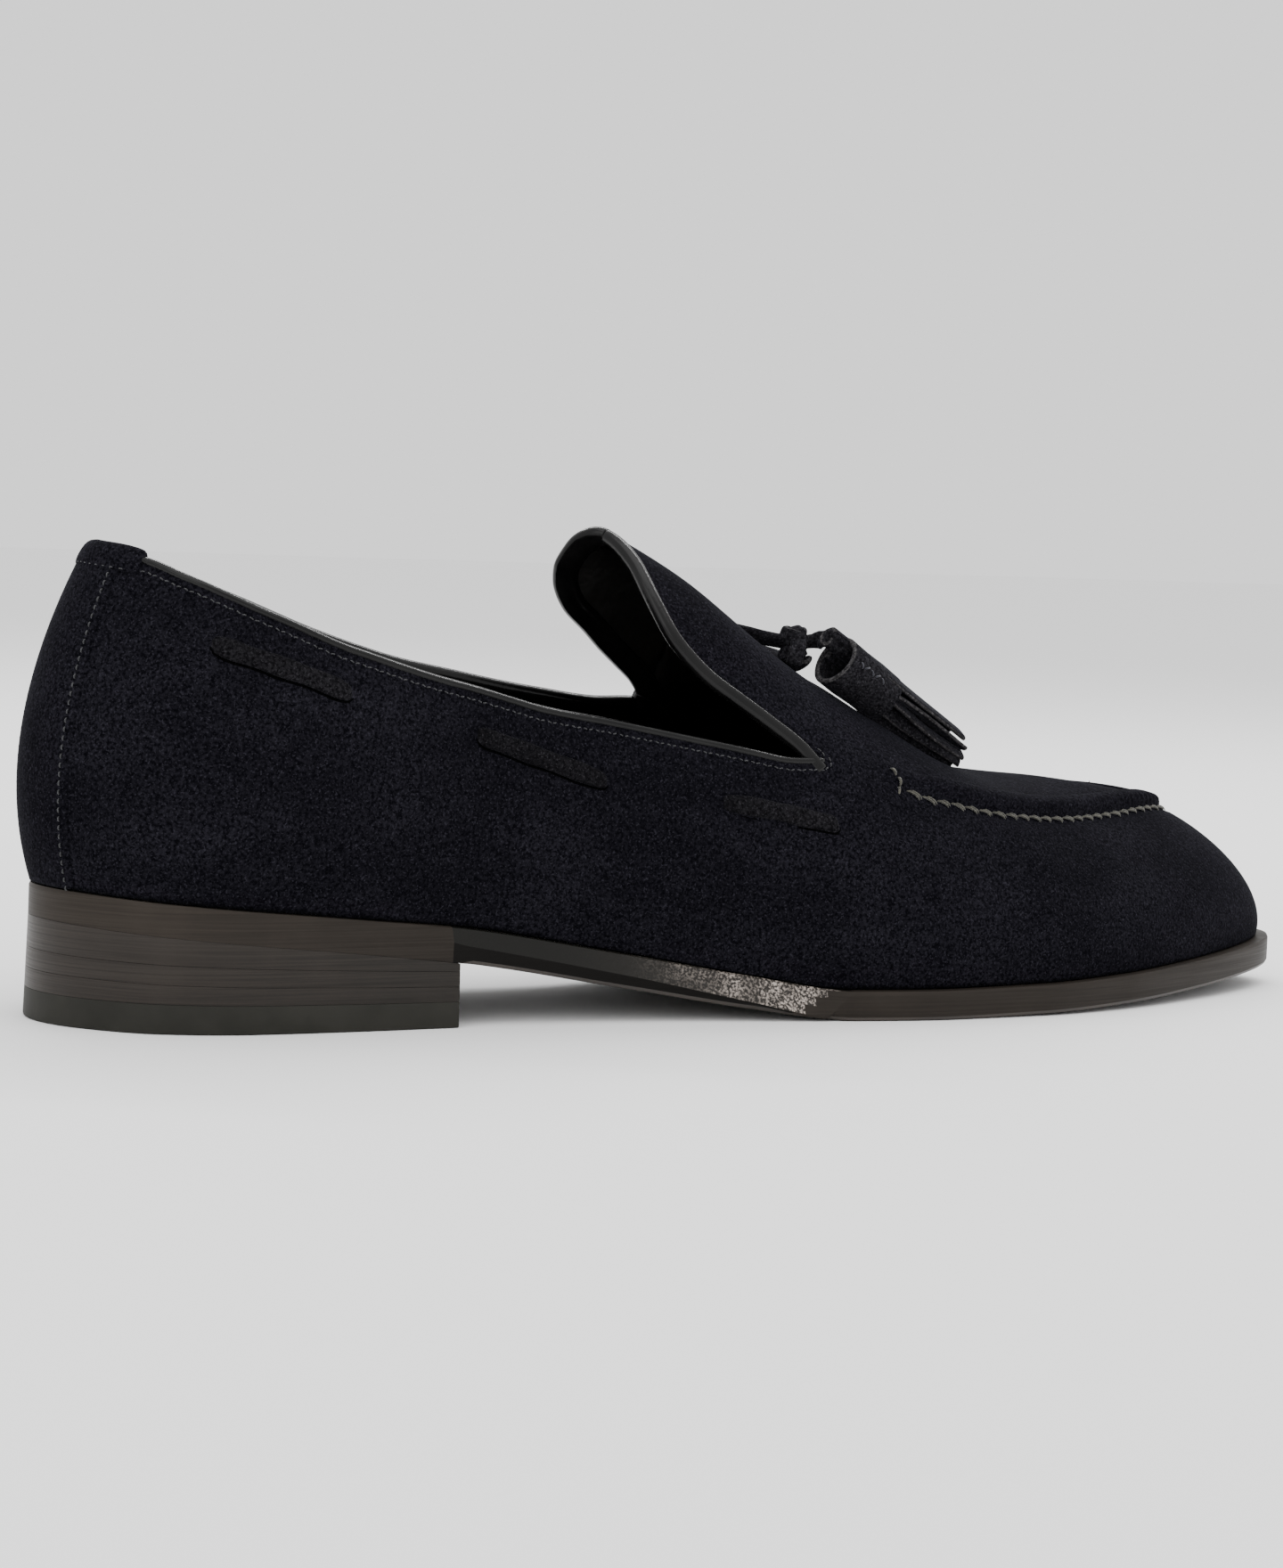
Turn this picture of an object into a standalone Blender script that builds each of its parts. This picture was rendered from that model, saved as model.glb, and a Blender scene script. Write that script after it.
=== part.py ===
"""A tassel loafer for the right foot: a suede upper with a raised apron seam, bound collar and tongue,
side laces, two tassels, a bevelled leather sole and a stacked leather heel.

X runs from the heel to the toe, Y to the medial side and Z up. Everything is worked out in a frame that
starts at the rear of the sole, and one empty moves it so that the origin is under the middle of the heel.
"""

import math

import bmesh
import bpy
import numpy as np

# Driving sizes in metres
SOLE_LENGTH = 0.300
BALL_WIDTH = 0.0955
WAIST_WIDTH = 0.0594
HEEL_WIDTH = 0.0620
HEEL_LENGTH = 0.0776
HEEL_HEIGHT = 0.0203
TOE_SPRING = 0.0052
SOLE_THICKNESS = 0.0062
EDGE_CHAMFER = 0.0005
WAIST_BEVEL = 0.0028
TOP_LIFT_HEIGHT = 0.0060
LIFT_HEIGHT = 0.0040
HEEL_FLARE = 0.0005
CONE_HEIGHT = 0.122
INSTEP_HEIGHT = 0.1006
TOE_HEIGHT = 0.0440
UPPER_WALL = 0.0020
FEATHER_INSET = 0.0024
INSOLE_THICKNESS = 0.0025
INSOLE_CLEARANCE = 0.0006
RIDGE_HEIGHT = 0.0030
RIDGE_WIDTH = 0.0050
BINDING_DIAMETER = 0.0022
TAB_DIAMETER = 0.0030
BACKSTAY_THICKNESS = 0.0009
LACE_WIDTH = 0.0042
LACE_THICKNESS = 0.0012
THONG_DIAMETER = 0.0034
KNOT_SIZE = (0.0076, 0.0070, 0.0094)
TASSEL_CAP_LENGTH = 0.0152
TASSEL_CAP_DIAMETER = 0.0116
FRINGE_LENGTH = 0.0222
FRINGE_STRIP_WIDTH = 0.0040
FRINGE_STRIP_THICKNESS = 0.0012
FRINGE_STRIPS = 6
FRINGE_FLATTENING = 0.42
FRINGE_DROOP = 0.35
GAP = 0.0003

# How finely the solids are divided
QUARTER_COLUMNS = 15
FRONT_COLUMNS = 20
TONGUE_COLUMNS = 8
WALL_ROWS = 7
SOLE_SECTIONS = 40
HEEL_SECTIONS = 12
TUBE_RESOLUTION = 2
STEP = 0.01
MERGE = 0.00001

LATERAL = -1
MEDIAL = 1
SIDES = {"lateral": LATERAL, "medial": MEDIAL}


def table(columns, rows):
    """Rows of numbers as one list for each named column."""
    return {name: [row[i] for row in rows] for i, name in enumerate(columns.split())}


# The sole's edge: stations as shares of the length, half widths as shares of the named width
WIDTHS = {"heel": HEEL_WIDTH, "waist": WAIST_WIDTH, "ball": BALL_WIDTH}
OUTLINE = table(
    "station of lateral medial",
    [
        (0.000, "heel", 0.000, 0.000),
        (0.020, "heel", 0.250, 0.242),
        (0.060, "heel", 0.416, 0.406),
        (0.120, "heel", 0.489, 0.484),
        (0.200, "heel", 0.500, 0.489),
        (0.270, "heel", 0.494, 0.460),
        (0.400, "waist", 0.571, 0.429),
        (0.500, "ball", 0.414, 0.325),
        (0.620, "ball", 0.475, 0.466),
        (0.700, "ball", 0.470, 0.529),
        (0.780, "ball", 0.424, 0.518),
        (0.860, "ball", 0.333, 0.440),
        (0.930, "ball", 0.230, 0.309),
        (0.975, "ball", 0.138, 0.183),
        (1.000, "ball", 0.000, 0.000),
    ],
)

# The sole's underside above the floor, as shares of the named height
RISES = {"heel": HEEL_HEIGHT, "toe": TOE_SPRING}
UNDERSIDE = table(
    "station of height",
    [
        (0.000, "heel", 1.000),
        (0.260, "heel", 0.630),
        (0.385, "heel", 0.330),
        (0.470, "heel", 0.128),
        (0.545, "heel", 0.000),
        (0.600, "toe", 0.000),
        (0.700, "toe", 0.080),
        (0.800, "toe", 0.280),
        (0.900, "toe", 0.590),
        (1.000, "toe", 1.000),
    ],
)

# The sole's edge: its thickness, and the bevel that slopes out and down from the upper along the waist
SOLE_EDGE = table(
    "station thickness bevel drop",
    [
        (0.000, 1.00, 0.10, 0.10),
        (0.200, 1.08, 0.10, 0.10),
        (0.270, 1.14, 0.45, 0.50),
        (0.380, 1.14, 0.85, 0.60),
        (0.450, 1.10, 1.00, 0.72),
        (0.500, 1.05, 1.00, 0.86),
        (0.522, 1.02, 0.90, 0.90),
        (0.545, 1.00, 0.10, 0.10),
        (1.000, 1.00, 0.10, 0.10),
    ],
)

# How far the upper stands in from the sole's edge, as shares of FEATHER_INSET
INSET = table(
    "station inset",
    [(0.0, 0.45), (0.2, 0.55), (0.3, 1.25), (0.5, 1.30), (0.56, 1.0), (0.8, 1.0), (1.0, 1.17)],
)

# The last's crest, from the closed cone over the heel to the toe, as shares of the named height
CREST_REAR = 0.150
CREST_FRONT = 0.833
TOPS = {"cone": CONE_HEIGHT, "instep": INSTEP_HEIGHT, "toe": TOE_HEIGHT}
CREST = table(
    "station of height",
    [
        (0.150, "cone", 1.000),
        (0.233, "cone", 1.000),
        (0.317, "cone", 0.930),
        (0.400, "instep", 1.000),
        (0.467, "instep", 0.895),
        (0.533, "instep", 0.743),
        (0.583, "instep", 0.637),
        (0.633, "instep", 0.549),
        (0.683, "toe", 1.142),
        (0.733, "toe", 1.098),
        (0.783, "toe", 1.072),
        (0.840, "toe", 1.007),
    ],
)

# Each section of the last: the crest's shift to the medial side and the swell of each wall as shares of
# the ball width, and how square its shoulder is, from 1 for a straight slope past 2 for an ellipse
SECTIONS = table(
    "station shift square lateral medial",
    [
        (0.00, 0.000, 2.12, 0.045, 0.045),
        (0.03, 0.000, 2.10, 0.045, 0.045),
        (0.06, 0.000, 2.10, 0.048, 0.048),
        (0.15, 0.000, 2.05, 0.044, 0.048),
        (0.27, 0.000, 2.00, 0.031, 0.061),
        (0.40, 0.007, 2.00, 0.023, 0.080),
        (0.50, 0.014, 2.00, 0.021, 0.065),
        (0.60, 0.021, 2.00, 0.019, 0.042),
        (0.70, 0.024, 2.05, 0.016, 0.021),
        (0.85, 0.024, 1.95, 0.012, 0.012),
        (1.00, 0.005, 1.72, 0.013, 0.013),
    ],
)

# The apron's seam, and how it fades in behind the toe; height is the share of the way up to the crest
APRON = table(
    "station height strength",
    [
        (0.590, 0.470, 0.0),
        (0.625, 0.463, 0.7),
        (0.656, 0.478, 1.0),
        (0.700, 0.502, 1.0),
        (0.753, 0.535, 1.0),
        (0.839, 0.578, 1.0),
        (0.908, 0.618, 1.0),
        (0.973, 0.667, 0.85),
        (1.000, 0.684, 0.7),
    ],
)
# The ridge's form across the seam, as shares of RIDGE_WIDTH and RIDGE_HEIGHT
RIDGE = table(
    "across height",
    [(-0.3, 0.0), (0.0, 0.05), (0.25, 0.75), (0.5, 1.0), (0.8, 0.85), (1.3, 0.35), (2.2, 0.12), (4.0, 0.0)],
)
RIDGE_ROWS = [0.0, 0.25, 0.5, 0.9, 1.6]

# The rim of the opening on each side: up the collar from the back to the notch, then up the tongue
COLLAR = {
    LATERAL: table(
        "station height",
        [
            (0.000, 0.450),
            (0.020, 0.443),
            (0.045, 0.420),
            (0.072, 0.396),
            (0.102, 0.372),
            (0.166, 0.337),
            (0.233, 0.329),
            (0.302, 0.328),
            (0.368, 0.345),
            (0.447, 0.366),
            (0.500, 0.390),
            (0.538, 0.434),
        ],
    ),
    MEDIAL: table(
        "station height",
        [
            (0.000, 0.450),
            (0.030, 0.446),
            (0.067, 0.430),
            (0.107, 0.412),
            (0.144, 0.395),
            (0.180, 0.382),
            (0.215, 0.373),
            (0.274, 0.364),
            (0.333, 0.377),
            (0.400, 0.399),
            (0.440, 0.418),
            (0.484, 0.462),
        ],
    ),
}
TONGUE = {
    LATERAL: table(
        "station height",
        [
            (0.538, 0.434),
            (0.523, 0.474),
            (0.498, 0.497),
            (0.477, 0.512),
            (0.456, 0.532),
            (0.441, 0.562),
            (0.429, 0.602),
            (0.421, 0.656),
            (0.414, 0.725),
            (0.408, 0.810),
            (0.398, 0.910),
            (0.388, 1.000),
        ],
    ),
    MEDIAL: table(
        "station height",
        [
            (0.484, 0.462),
            (0.488, 0.505),
            (0.478, 0.532),
            (0.457, 0.554),
            (0.440, 0.572),
            (0.421, 0.599),
            (0.399, 0.630),
            (0.384, 0.682),
            (0.379, 0.740),
            (0.379, 0.820),
            (0.382, 0.910),
            (0.388, 1.000),
        ],
    ),
}
CREST_OF_NOTCH = 0.505
TAB_STATION = 0.021
BACKSTAY_COLUMNS = 2
BACKSTAY_STEP = 0.112

# The side laces that show between their slits, from end to end
SIDE_LACES = table(
    "start start_height end end_height",
    [
        (0.068, 0.334, 0.166, 0.286),
        (0.262, 0.272, 0.364, 0.256),
        (0.449, 0.276, 0.540, 0.312),
    ],
)

# Where the ties stand off the last: the station, the height and the lift as a share of THONG_DIAMETER
KNOT = {"side": LATERAL, "at": (0.5785, 0.911, 1.50)}
TIES = {
    LATERAL: {
        "exit": (0.5525, 0.935, 0.60),
        "bend": (0.5866, 0.876, 2.65),
        "cap": (0.5967, 0.821, 2.06),
        "aim": (0.6650, 0.835, 1.88),
    },
    MEDIAL: {
        "exit": (0.5400, 0.820, 0.72),
        "bend": (0.6060, 0.880, 1.90),
        "cap": (0.5760, 0.690, 1.93),
        "aim": (0.6200, 0.560, 1.98),
    },
}


def monotone(xs, ys, at):
    """A smooth curve through the points, with no overshoot between them."""
    xs, ys = np.asarray(xs, float), np.asarray(ys, float)
    at = np.clip(np.asarray(at, float), xs[0], xs[-1])
    width = np.diff(xs)
    slope = np.diff(ys) / width
    tangent = np.zeros_like(ys)
    tangent[0], tangent[-1] = slope[0], slope[-1]
    for i in range(1, len(xs) - 1):
        if slope[i - 1] * slope[i] > 0:
            before = 2 * width[i] + width[i - 1]
            after = width[i] + 2 * width[i - 1]
            tangent[i] = (before + after) / (before / slope[i - 1] + after / slope[i])
    i = np.clip(np.searchsorted(xs, at, side="right") - 1, 0, len(xs) - 2)
    t = (at - xs[i]) / width[i]
    return (
        (1 + 2 * t) * (1 - t) ** 2 * ys[i]
        + t * (1 - t) ** 2 * width[i] * tangent[i]
        + t * t * (3 - 2 * t) * ys[i + 1]
        + t * t * (t - 1) * width[i] * tangent[i + 1]
    )


def turn(station):
    """The angle round the plan, from 0 at the heel's rear to pi at the toe's tip."""
    return np.arccos(1 - 2 * np.clip(np.asarray(station, float), 0, 1))


def station_at(angle):
    return (1 - np.cos(angle)) / 2


def fold(side, angle):
    """Past the heel's rear or the toe's tip, an angle goes on round the other side."""
    over = (angle < 0) | (angle > math.pi)
    angle = np.where(angle < 0, -angle, np.where(angle > math.pi, 2 * math.pi - angle, angle))
    return np.where(over, -side, side), angle


def plan(side, angle):
    """A point of the sole's outline."""
    half = {}
    for name, sign in SIDES.items():
        shares = [share * WIDTHS[of] for share, of in zip(OUTLINE[name], OUTLINE["of"])]
        half[sign] = sign * monotone(turn(OUTLINE["station"]), shares, angle)
    return station_at(angle) * SOLE_LENGTH, np.where(side == LATERAL, half[LATERAL], half[MEDIAL])


def inward(side, angle, inset):
    """The outline's point moved in by inset, with the outline's outward direction there."""
    x, y = plan(side, angle)
    x0, y0 = plan(*fold(side, angle - STEP))
    x1, y1 = plan(*fold(side, angle + STEP))
    out_x, out_y = -side * (y1 - y0), side * (x1 - x0)
    length = np.hypot(out_x, out_y)
    out_x, out_y = out_x / length, out_y / length
    return x - out_x * inset, y - out_y * inset, out_x, out_y


def underside(x):
    heights = [share * RISES[of] for share, of in zip(UNDERSIDE["height"], UNDERSIDE["of"])]
    return monotone(UNDERSIDE["station"], heights, x / SOLE_LENGTH)


def sole_edge(x, name):
    return monotone(SOLE_EDGE["station"], SOLE_EDGE[name], x / SOLE_LENGTH)


def sole_top(x):
    return underside(x) + SOLE_THICKNESS * sole_edge(x, "thickness")


def feather_inset(angle):
    return FEATHER_INSET * monotone(INSET["station"], INSET["inset"], station_at(angle))


def crest_top(x):
    heights = [share * TOPS[of] for share, of in zip(CREST["height"], CREST["of"])]
    return monotone(CREST["station"], heights, x / SOLE_LENGTH)


def swell_at(rise):
    """How the wall swells on its way up: nothing at the feather, most at a third, nothing at the crest."""
    return 7.2 * rise * (1 - rise) ** 2.17


def last(side, angle, height):
    """A point of the last: an angle round the plan and a share of the way from the feather to the crest.
    Past 1, the height goes on down the other side."""
    side, angle = fold(side, angle)
    side, height = np.where(height > 1, -side, side), np.where(height > 1, 2 - height, height)
    station = station_at(angle)
    foot_x, foot_y, out_x, out_y = inward(side, angle, feather_inset(angle))
    foot_z = sole_top(foot_x) + GAP
    crest_x = SOLE_LENGTH * (CREST_REAR + (CREST_FRONT - CREST_REAR) * station)
    row = {
        name: monotone(SECTIONS["station"], SECTIONS[name], station)
        for name in ("shift", "square", "lateral", "medial")
    }
    swell = BALL_WIDTH * np.where(side == LATERAL, row["lateral"], row["medial"])
    across = 1 - np.cos(height * math.pi / 2) ** (2 / row["square"])
    rise = np.sin(height * math.pi / 2) ** (2 / row["square"])
    swell = swell * swell_at(rise)
    x = foot_x + (crest_x - foot_x) * across + out_x * swell
    y = foot_y + (BALL_WIDTH * row["shift"] - foot_y) * across + out_y * swell
    z = foot_z + (crest_top(crest_x) - foot_z) * rise
    return np.stack([x, y, z], axis=-1)


def unit(vectors):
    return vectors / np.linalg.norm(vectors, axis=-1, keepdims=True)


def outward(side, angle, height):
    """The last's outward direction. The crest's tip takes the direction a step behind it."""
    angle = np.where(height > 1 - STEP / 2, np.minimum(angle, math.pi - 2 * STEP), angle)
    along = last(side, angle + STEP, height) - last(side, angle - STEP, height)
    up = last(side, angle, height + STEP) - last(side, angle, np.maximum(height - STEP, 0))
    return unit(np.cross(along, up)) * -np.asarray(side, float)[..., None]


def apron_row(angle, name):
    return monotone(APRON["station"], APRON[name], station_at(angle))


def per_height(side, angle):
    """How many metres of surface a height of 1 covers beside the apron's seam."""
    seam = apron_row(angle, "height")
    return np.linalg.norm(last(side, angle, seam + STEP) - last(side, angle, seam - STEP), axis=-1) / (2 * STEP)


def ridge(side, angle, height):
    """How far the seam's ridge stands out."""
    across = (height - apron_row(angle, "height")) * per_height(side, angle) / RIDGE_WIDTH
    return RIDGE_HEIGHT * apron_row(angle, "strength") * monotone(RIDGE["across"], RIDGE["height"], across)


def skin(side, angle, height, out=0.0):
    """A point on the upper's outer face, or out from it."""
    side = np.broadcast_to(side, np.shape(height))
    angle = np.broadcast_to(angle, np.shape(height))
    step = out + ridge(side, angle, height)
    return last(side, angle, height) + outward(side, angle, height) * step[..., None]


def quarter_angles(side):
    """The columns from the heel's rear to the notch. The first ones are the backstay's."""
    notch = turn(COLLAR[side]["station"][-1])
    behind = BACKSTAY_STEP * np.arange(BACKSTAY_COLUMNS)
    return np.concatenate([behind, np.linspace(BACKSTAY_STEP * BACKSTAY_COLUMNS, notch, QUARTER_COLUMNS)])


def collar_height(side, angle):
    return monotone(turn(COLLAR[side]["station"]), COLLAR[side]["height"], angle)


def tongue_rim(side, share):
    """The tongue's rim from the notch, at 0, to its top on the crest, at 1."""
    angles, heights = turn(TONGUE[side]["station"]), np.array(TONGUE[side]["height"])
    along = np.concatenate([[0], np.cumsum(np.hypot(np.diff(angles), np.diff(heights)))])
    return monotone(along / along[-1], angles, share), monotone(along / along[-1], heights, share)


def seam_height(side, angle):
    """The row that runs from the notch forward along the apron's seam."""
    stations = [COLLAR[side]["station"][-1]] + APRON["station"]
    heights = [COLLAR[side]["height"][-1]] + APRON["height"]
    return monotone(turn(stations), heights, angle)


def upper_grids(side):
    """The upper's outer face on one side, as grids of points: quarter, forepart and tongue."""
    angles = quarter_angles(side)
    share = np.linspace(0, 1, WALL_ROWS + 1)
    quarter = skin(side, np.repeat(angles[:, None], len(share), 1), collar_height(side, angles)[:, None] * share)

    notch, crest_notch = angles[-1], turn(CREST_OF_NOTCH)
    forward = np.linspace(0, 1, FRONT_COLUMNS + 1)
    low = notch + (math.pi - notch) * forward
    high = crest_notch + (math.pi - crest_notch) * forward
    seam = seam_height(side, low)
    wall = skin(side, np.repeat(low[:, None], len(share), 1), seam[:, None] * share)

    rows = len(RIDGE_ROWS) + 2
    even = np.linspace(0, 1, rows)
    near = np.array(RIDGE_ROWS) * RIDGE_WIDTH / (per_height(side, low) * (1 - seam))[:, None]
    rest = near[:, -1:] + (1 - near[:, -1:]) * np.array([0.45, 1.0])
    strength = apron_row(low, "strength")[:, None]
    up = strength * np.concatenate([near, rest], axis=1) + (1 - strength) * even
    angle = low[:, None] + (high - low)[:, None] * up
    top = skin(side, angle, seam[:, None] + (1 - seam)[:, None] * up)

    climb = np.linspace(0, 1, TONGUE_COLUMNS + 1)
    rim_angle, rim_height = tongue_rim(side, climb)
    crest = crest_notch + (turn(TONGUE[side]["station"][-1]) - crest_notch) * climb
    angle = rim_angle[:, None] + (crest - rim_angle)[:, None] * up[0]
    tongue = skin(side, angle, rim_height[:, None] + (1 - rim_height)[:, None] * up[0])
    return [quarter, wall, top, tongue]


def material(name, colour, roughness, metallic=0.0):
    made = bpy.data.materials.new(name)
    made.use_nodes = True
    shader = made.node_tree.nodes["Principled BSDF"]
    shader.inputs["Base Color"].default_value = (*colour, 1.0)
    shader.inputs["Roughness"].default_value = roughness
    shader.inputs["Metallic"].default_value = metallic
    return made


def finish(name, mesh, colour, roughness, parts, frame):
    """An object of the part, from a mesh or a curve."""
    mesh.materials.append(material(name, colour, roughness))
    made = bpy.data.objects.new(name, mesh)
    made.parent = frame
    parts.objects.link(made)
    return made


def mesh_of(name, grids, flips):
    """One mesh from grids of points, with the points that meet made one."""
    work = bmesh.new()
    for grid, flip in zip(grids, flips):
        points = [[work.verts.new(point) for point in line] for line in grid]
        for i in range(len(points) - 1):
            for j in range(len(points[0]) - 1):
                corners = [points[i][j], points[i + 1][j], points[i + 1][j + 1], points[i][j + 1]]
                work.faces.new(corners[::-1] if flip else corners)
    bmesh.ops.remove_doubles(work, verts=work.verts, dist=MERGE)
    mesh = bpy.data.meshes.new(name)
    work.to_mesh(mesh)
    work.free()
    mesh.shade_smooth()
    return mesh


def thicken(made, thickness, inwards):
    """A shell from an open surface."""
    shell = made.modifiers.new("wall", "SOLIDIFY")
    shell.thickness = thickness
    shell.offset = -1.0 if inwards else 1.0
    shell.use_even_offset = False


def loft(name, sections):
    """A closed solid through sections with the same number of points."""
    work = bmesh.new()
    rings = [[work.verts.new(point) for point in section] for section in sections]
    count = len(rings[0])
    for a, b in zip(rings, rings[1:]):
        for k in range(count):
            work.faces.new([a[k], a[(k + 1) % count], b[(k + 1) % count], b[k]])
    work.faces.new(rings[0][::-1])
    work.faces.new(rings[-1])
    bmesh.ops.remove_doubles(work, verts=work.verts, dist=MERGE)
    bmesh.ops.recalc_face_normals(work, faces=work.faces)
    mesh = bpy.data.meshes.new(name)
    work.to_mesh(mesh)
    work.free()
    return mesh


def plate_sections(angles, rings):
    """Sections across the plan. Each ring is a pair of functions: inset(angle) and z(x)."""
    sections = []
    for angle in angles:
        loop = []
        for side, order in ((LATERAL, rings), (MEDIAL, rings[::-1])):
            for inset, height in order:
                x, y, _, _ = inward(np.array(side), np.array(angle), inset(angle))
                loop.append((float(x), float(y), float(height(x))))
        sections.append(loop)
    return sections


def build_upper(parts, frame):
    grids, flips = [], []
    for side in SIDES.values():
        grids += upper_grids(side)
        flips += [side == MEDIAL] * 3 + [side == LATERAL]
    upper = finish("upper", mesh_of("upper", grids, flips), (0.012, 0.013, 0.022), 0.95, parts, frame)
    thicken(upper, UPPER_WALL, inwards=True)


def build_sole(parts, frame):
    edge = lambda name: lambda angle: WAIST_BEVEL * sole_edge(station_at(angle) * SOLE_LENGTH, name)
    full = lambda angle: 0.0
    rings = [
        (lambda angle: EDGE_CHAMFER, underside),
        (full, lambda x: underside(x) + EDGE_CHAMFER),
        (full, lambda x: sole_top(x) - SOLE_THICKNESS * sole_edge(x, "thickness") * sole_edge(x, "drop")),
        (edge("bevel"), sole_top),
    ]
    mesh = loft("outsole", plate_sections(np.linspace(0, math.pi, SOLE_SECTIONS + 1), rings))
    finish("outsole", mesh, (0.045, 0.032, 0.026), 0.45, parts, frame)

    inner = lambda angle: feather_inset(angle) + UPPER_WALL + INSOLE_CLEARANCE
    rings = [
        (inner, lambda x: sole_top(x) + GAP),
        (inner, lambda x: sole_top(x) + GAP + INSOLE_THICKNESS),
    ]
    mesh = loft("insole", plate_sections(np.linspace(0, math.pi, SOLE_SECTIONS + 1), rings))
    finish("insole", mesh, (0.020, 0.018, 0.017), 0.55, parts, frame)


def build_heel(parts, frame):
    """The heel's lifts, from the floor up. Each one thins a little to the front, and the wedge fills up
    to the sole."""
    tilt = (underside(0.0) - underside(HEEL_LENGTH)) / HEEL_LENGTH
    floor = lambda x: 0.0 * x
    flared = lambda height: lambda angle: -HEEL_FLARE * (1 - height(station_at(angle) * SOLE_LENGTH) / HEEL_HEIGHT)
    tops = [
        lambda x: TOP_LIFT_HEIGHT - 0.10 * tilt * x,
        lambda x: TOP_LIFT_HEIGHT + LIFT_HEIGHT - 0.24 * tilt * x,
        lambda x: TOP_LIFT_HEIGHT + 2 * LIFT_HEIGHT - 0.37 * tilt * x,
        lambda x: underside(x) - GAP,
    ]
    names = ["heel_top_piece", "heel_lift_1", "heel_lift_2", "heel_wedge"]
    angles = np.linspace(0, turn(HEEL_LENGTH / SOLE_LENGTH), HEEL_SECTIONS + 1)
    below = floor
    for name, top in zip(names, tops):
        rings = [(flared(below), below), (flared(top), top)]
        mesh = loft(name, plate_sections(angles, rings))
        rubber = name == "heel_top_piece"
        finish(name, mesh, (0.030, 0.031, 0.028) if rubber else (0.045, 0.032, 0.026), 0.5, parts, frame)
        below = lambda x, top=top: top(x) + GAP


def build_backstay(parts, frame):
    """The strip over the back seam, on the upper's own columns."""
    angle = BACKSTAY_STEP * np.arange(-BACKSTAY_COLUMNS, BACKSTAY_COLUMNS + 1)
    side, angle = fold(np.full(len(angle), LATERAL), angle)
    rim = np.where(side == LATERAL, collar_height(LATERAL, angle), collar_height(MEDIAL, angle))
    share = np.linspace(0.02, 0.985, 2 * WALL_ROWS + 1)
    repeat = lambda row: np.repeat(row[:, None], len(share), 1)
    grid = skin(repeat(side), repeat(angle), rim[:, None] * share, GAP)
    made = finish("backstay", mesh_of("backstay", [grid], [False]), (0.012, 0.013, 0.022), 0.95, parts, frame)
    thicken(made, BACKSTAY_THICKNESS, inwards=False)


def build_side_laces(parts, frame):
    """The raised strands between the slits, three on each side."""
    for name, side in SIDES.items():
        for k in range(len(SIDE_LACES["start"])):
            start, end = turn(SIDE_LACES["start"][k]), turn(SIDE_LACES["end"][k])
            along = np.linspace(0, 1, 9)
            angle = start + (end - start) * along
            low, high = SIDE_LACES["start_height"][k], SIDE_LACES["end_height"][k]
            middle = low + (high - low) * along
            side_row = np.full(len(along), side)
            up = last(side_row, angle, middle + STEP) - last(side_row, angle, middle - STEP)
            round_end = np.sqrt(1 - np.clip(np.abs(2 * along - 1), 0, 0.94) ** 6)
            half = LACE_WIDTH / 2 * round_end / (np.linalg.norm(up, axis=-1) / (2 * STEP))
            across = np.array([-1.0, -0.4, 0.4, 1.0])
            angles = np.repeat(angle[:, None], len(across), 1)
            grid = skin(side, angles, middle[:, None] + half[:, None] * across, GAP * 1.5)
            label = f"side_lace_{name}_{k + 1}"
            mesh = mesh_of(label, [grid], [side == MEDIAL])
            made = finish(label, mesh, (0.012, 0.013, 0.022), 0.95, parts, frame)
            thicken(made, LACE_THICKNESS, inwards=False)


def bead_path(side, angle, height, radius):
    """The line of a bead that lies on the rim's edge, out of the wall by the gap."""
    points = skin(side, angle, height)
    normal = outward(np.broadcast_to(side, angle.shape), angle, height)
    tangent = unit(np.gradient(points, axis=0))
    away = np.cross(normal, tangent) * -np.broadcast_to(side, angle.shape)[..., None]
    return points - normal * UPPER_WALL / 2 + away * (radius + GAP)


def tube(name, points, radius, colour, roughness, parts, frame):
    curve = bpy.data.curves.new(name, "CURVE")
    curve.dimensions = "3D"
    curve.bevel_depth = radius
    curve.bevel_resolution = TUBE_RESOLUTION
    curve.use_fill_caps = True
    spline = curve.splines.new("POLY")
    spline.points.add(len(points) - 1)
    for slot, point in zip(spline.points, points):
        slot.co = (*[float(c) for c in point], 1.0)
    spline.use_smooth = True
    return finish(name, curve, colour, roughness, parts, frame)


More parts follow.
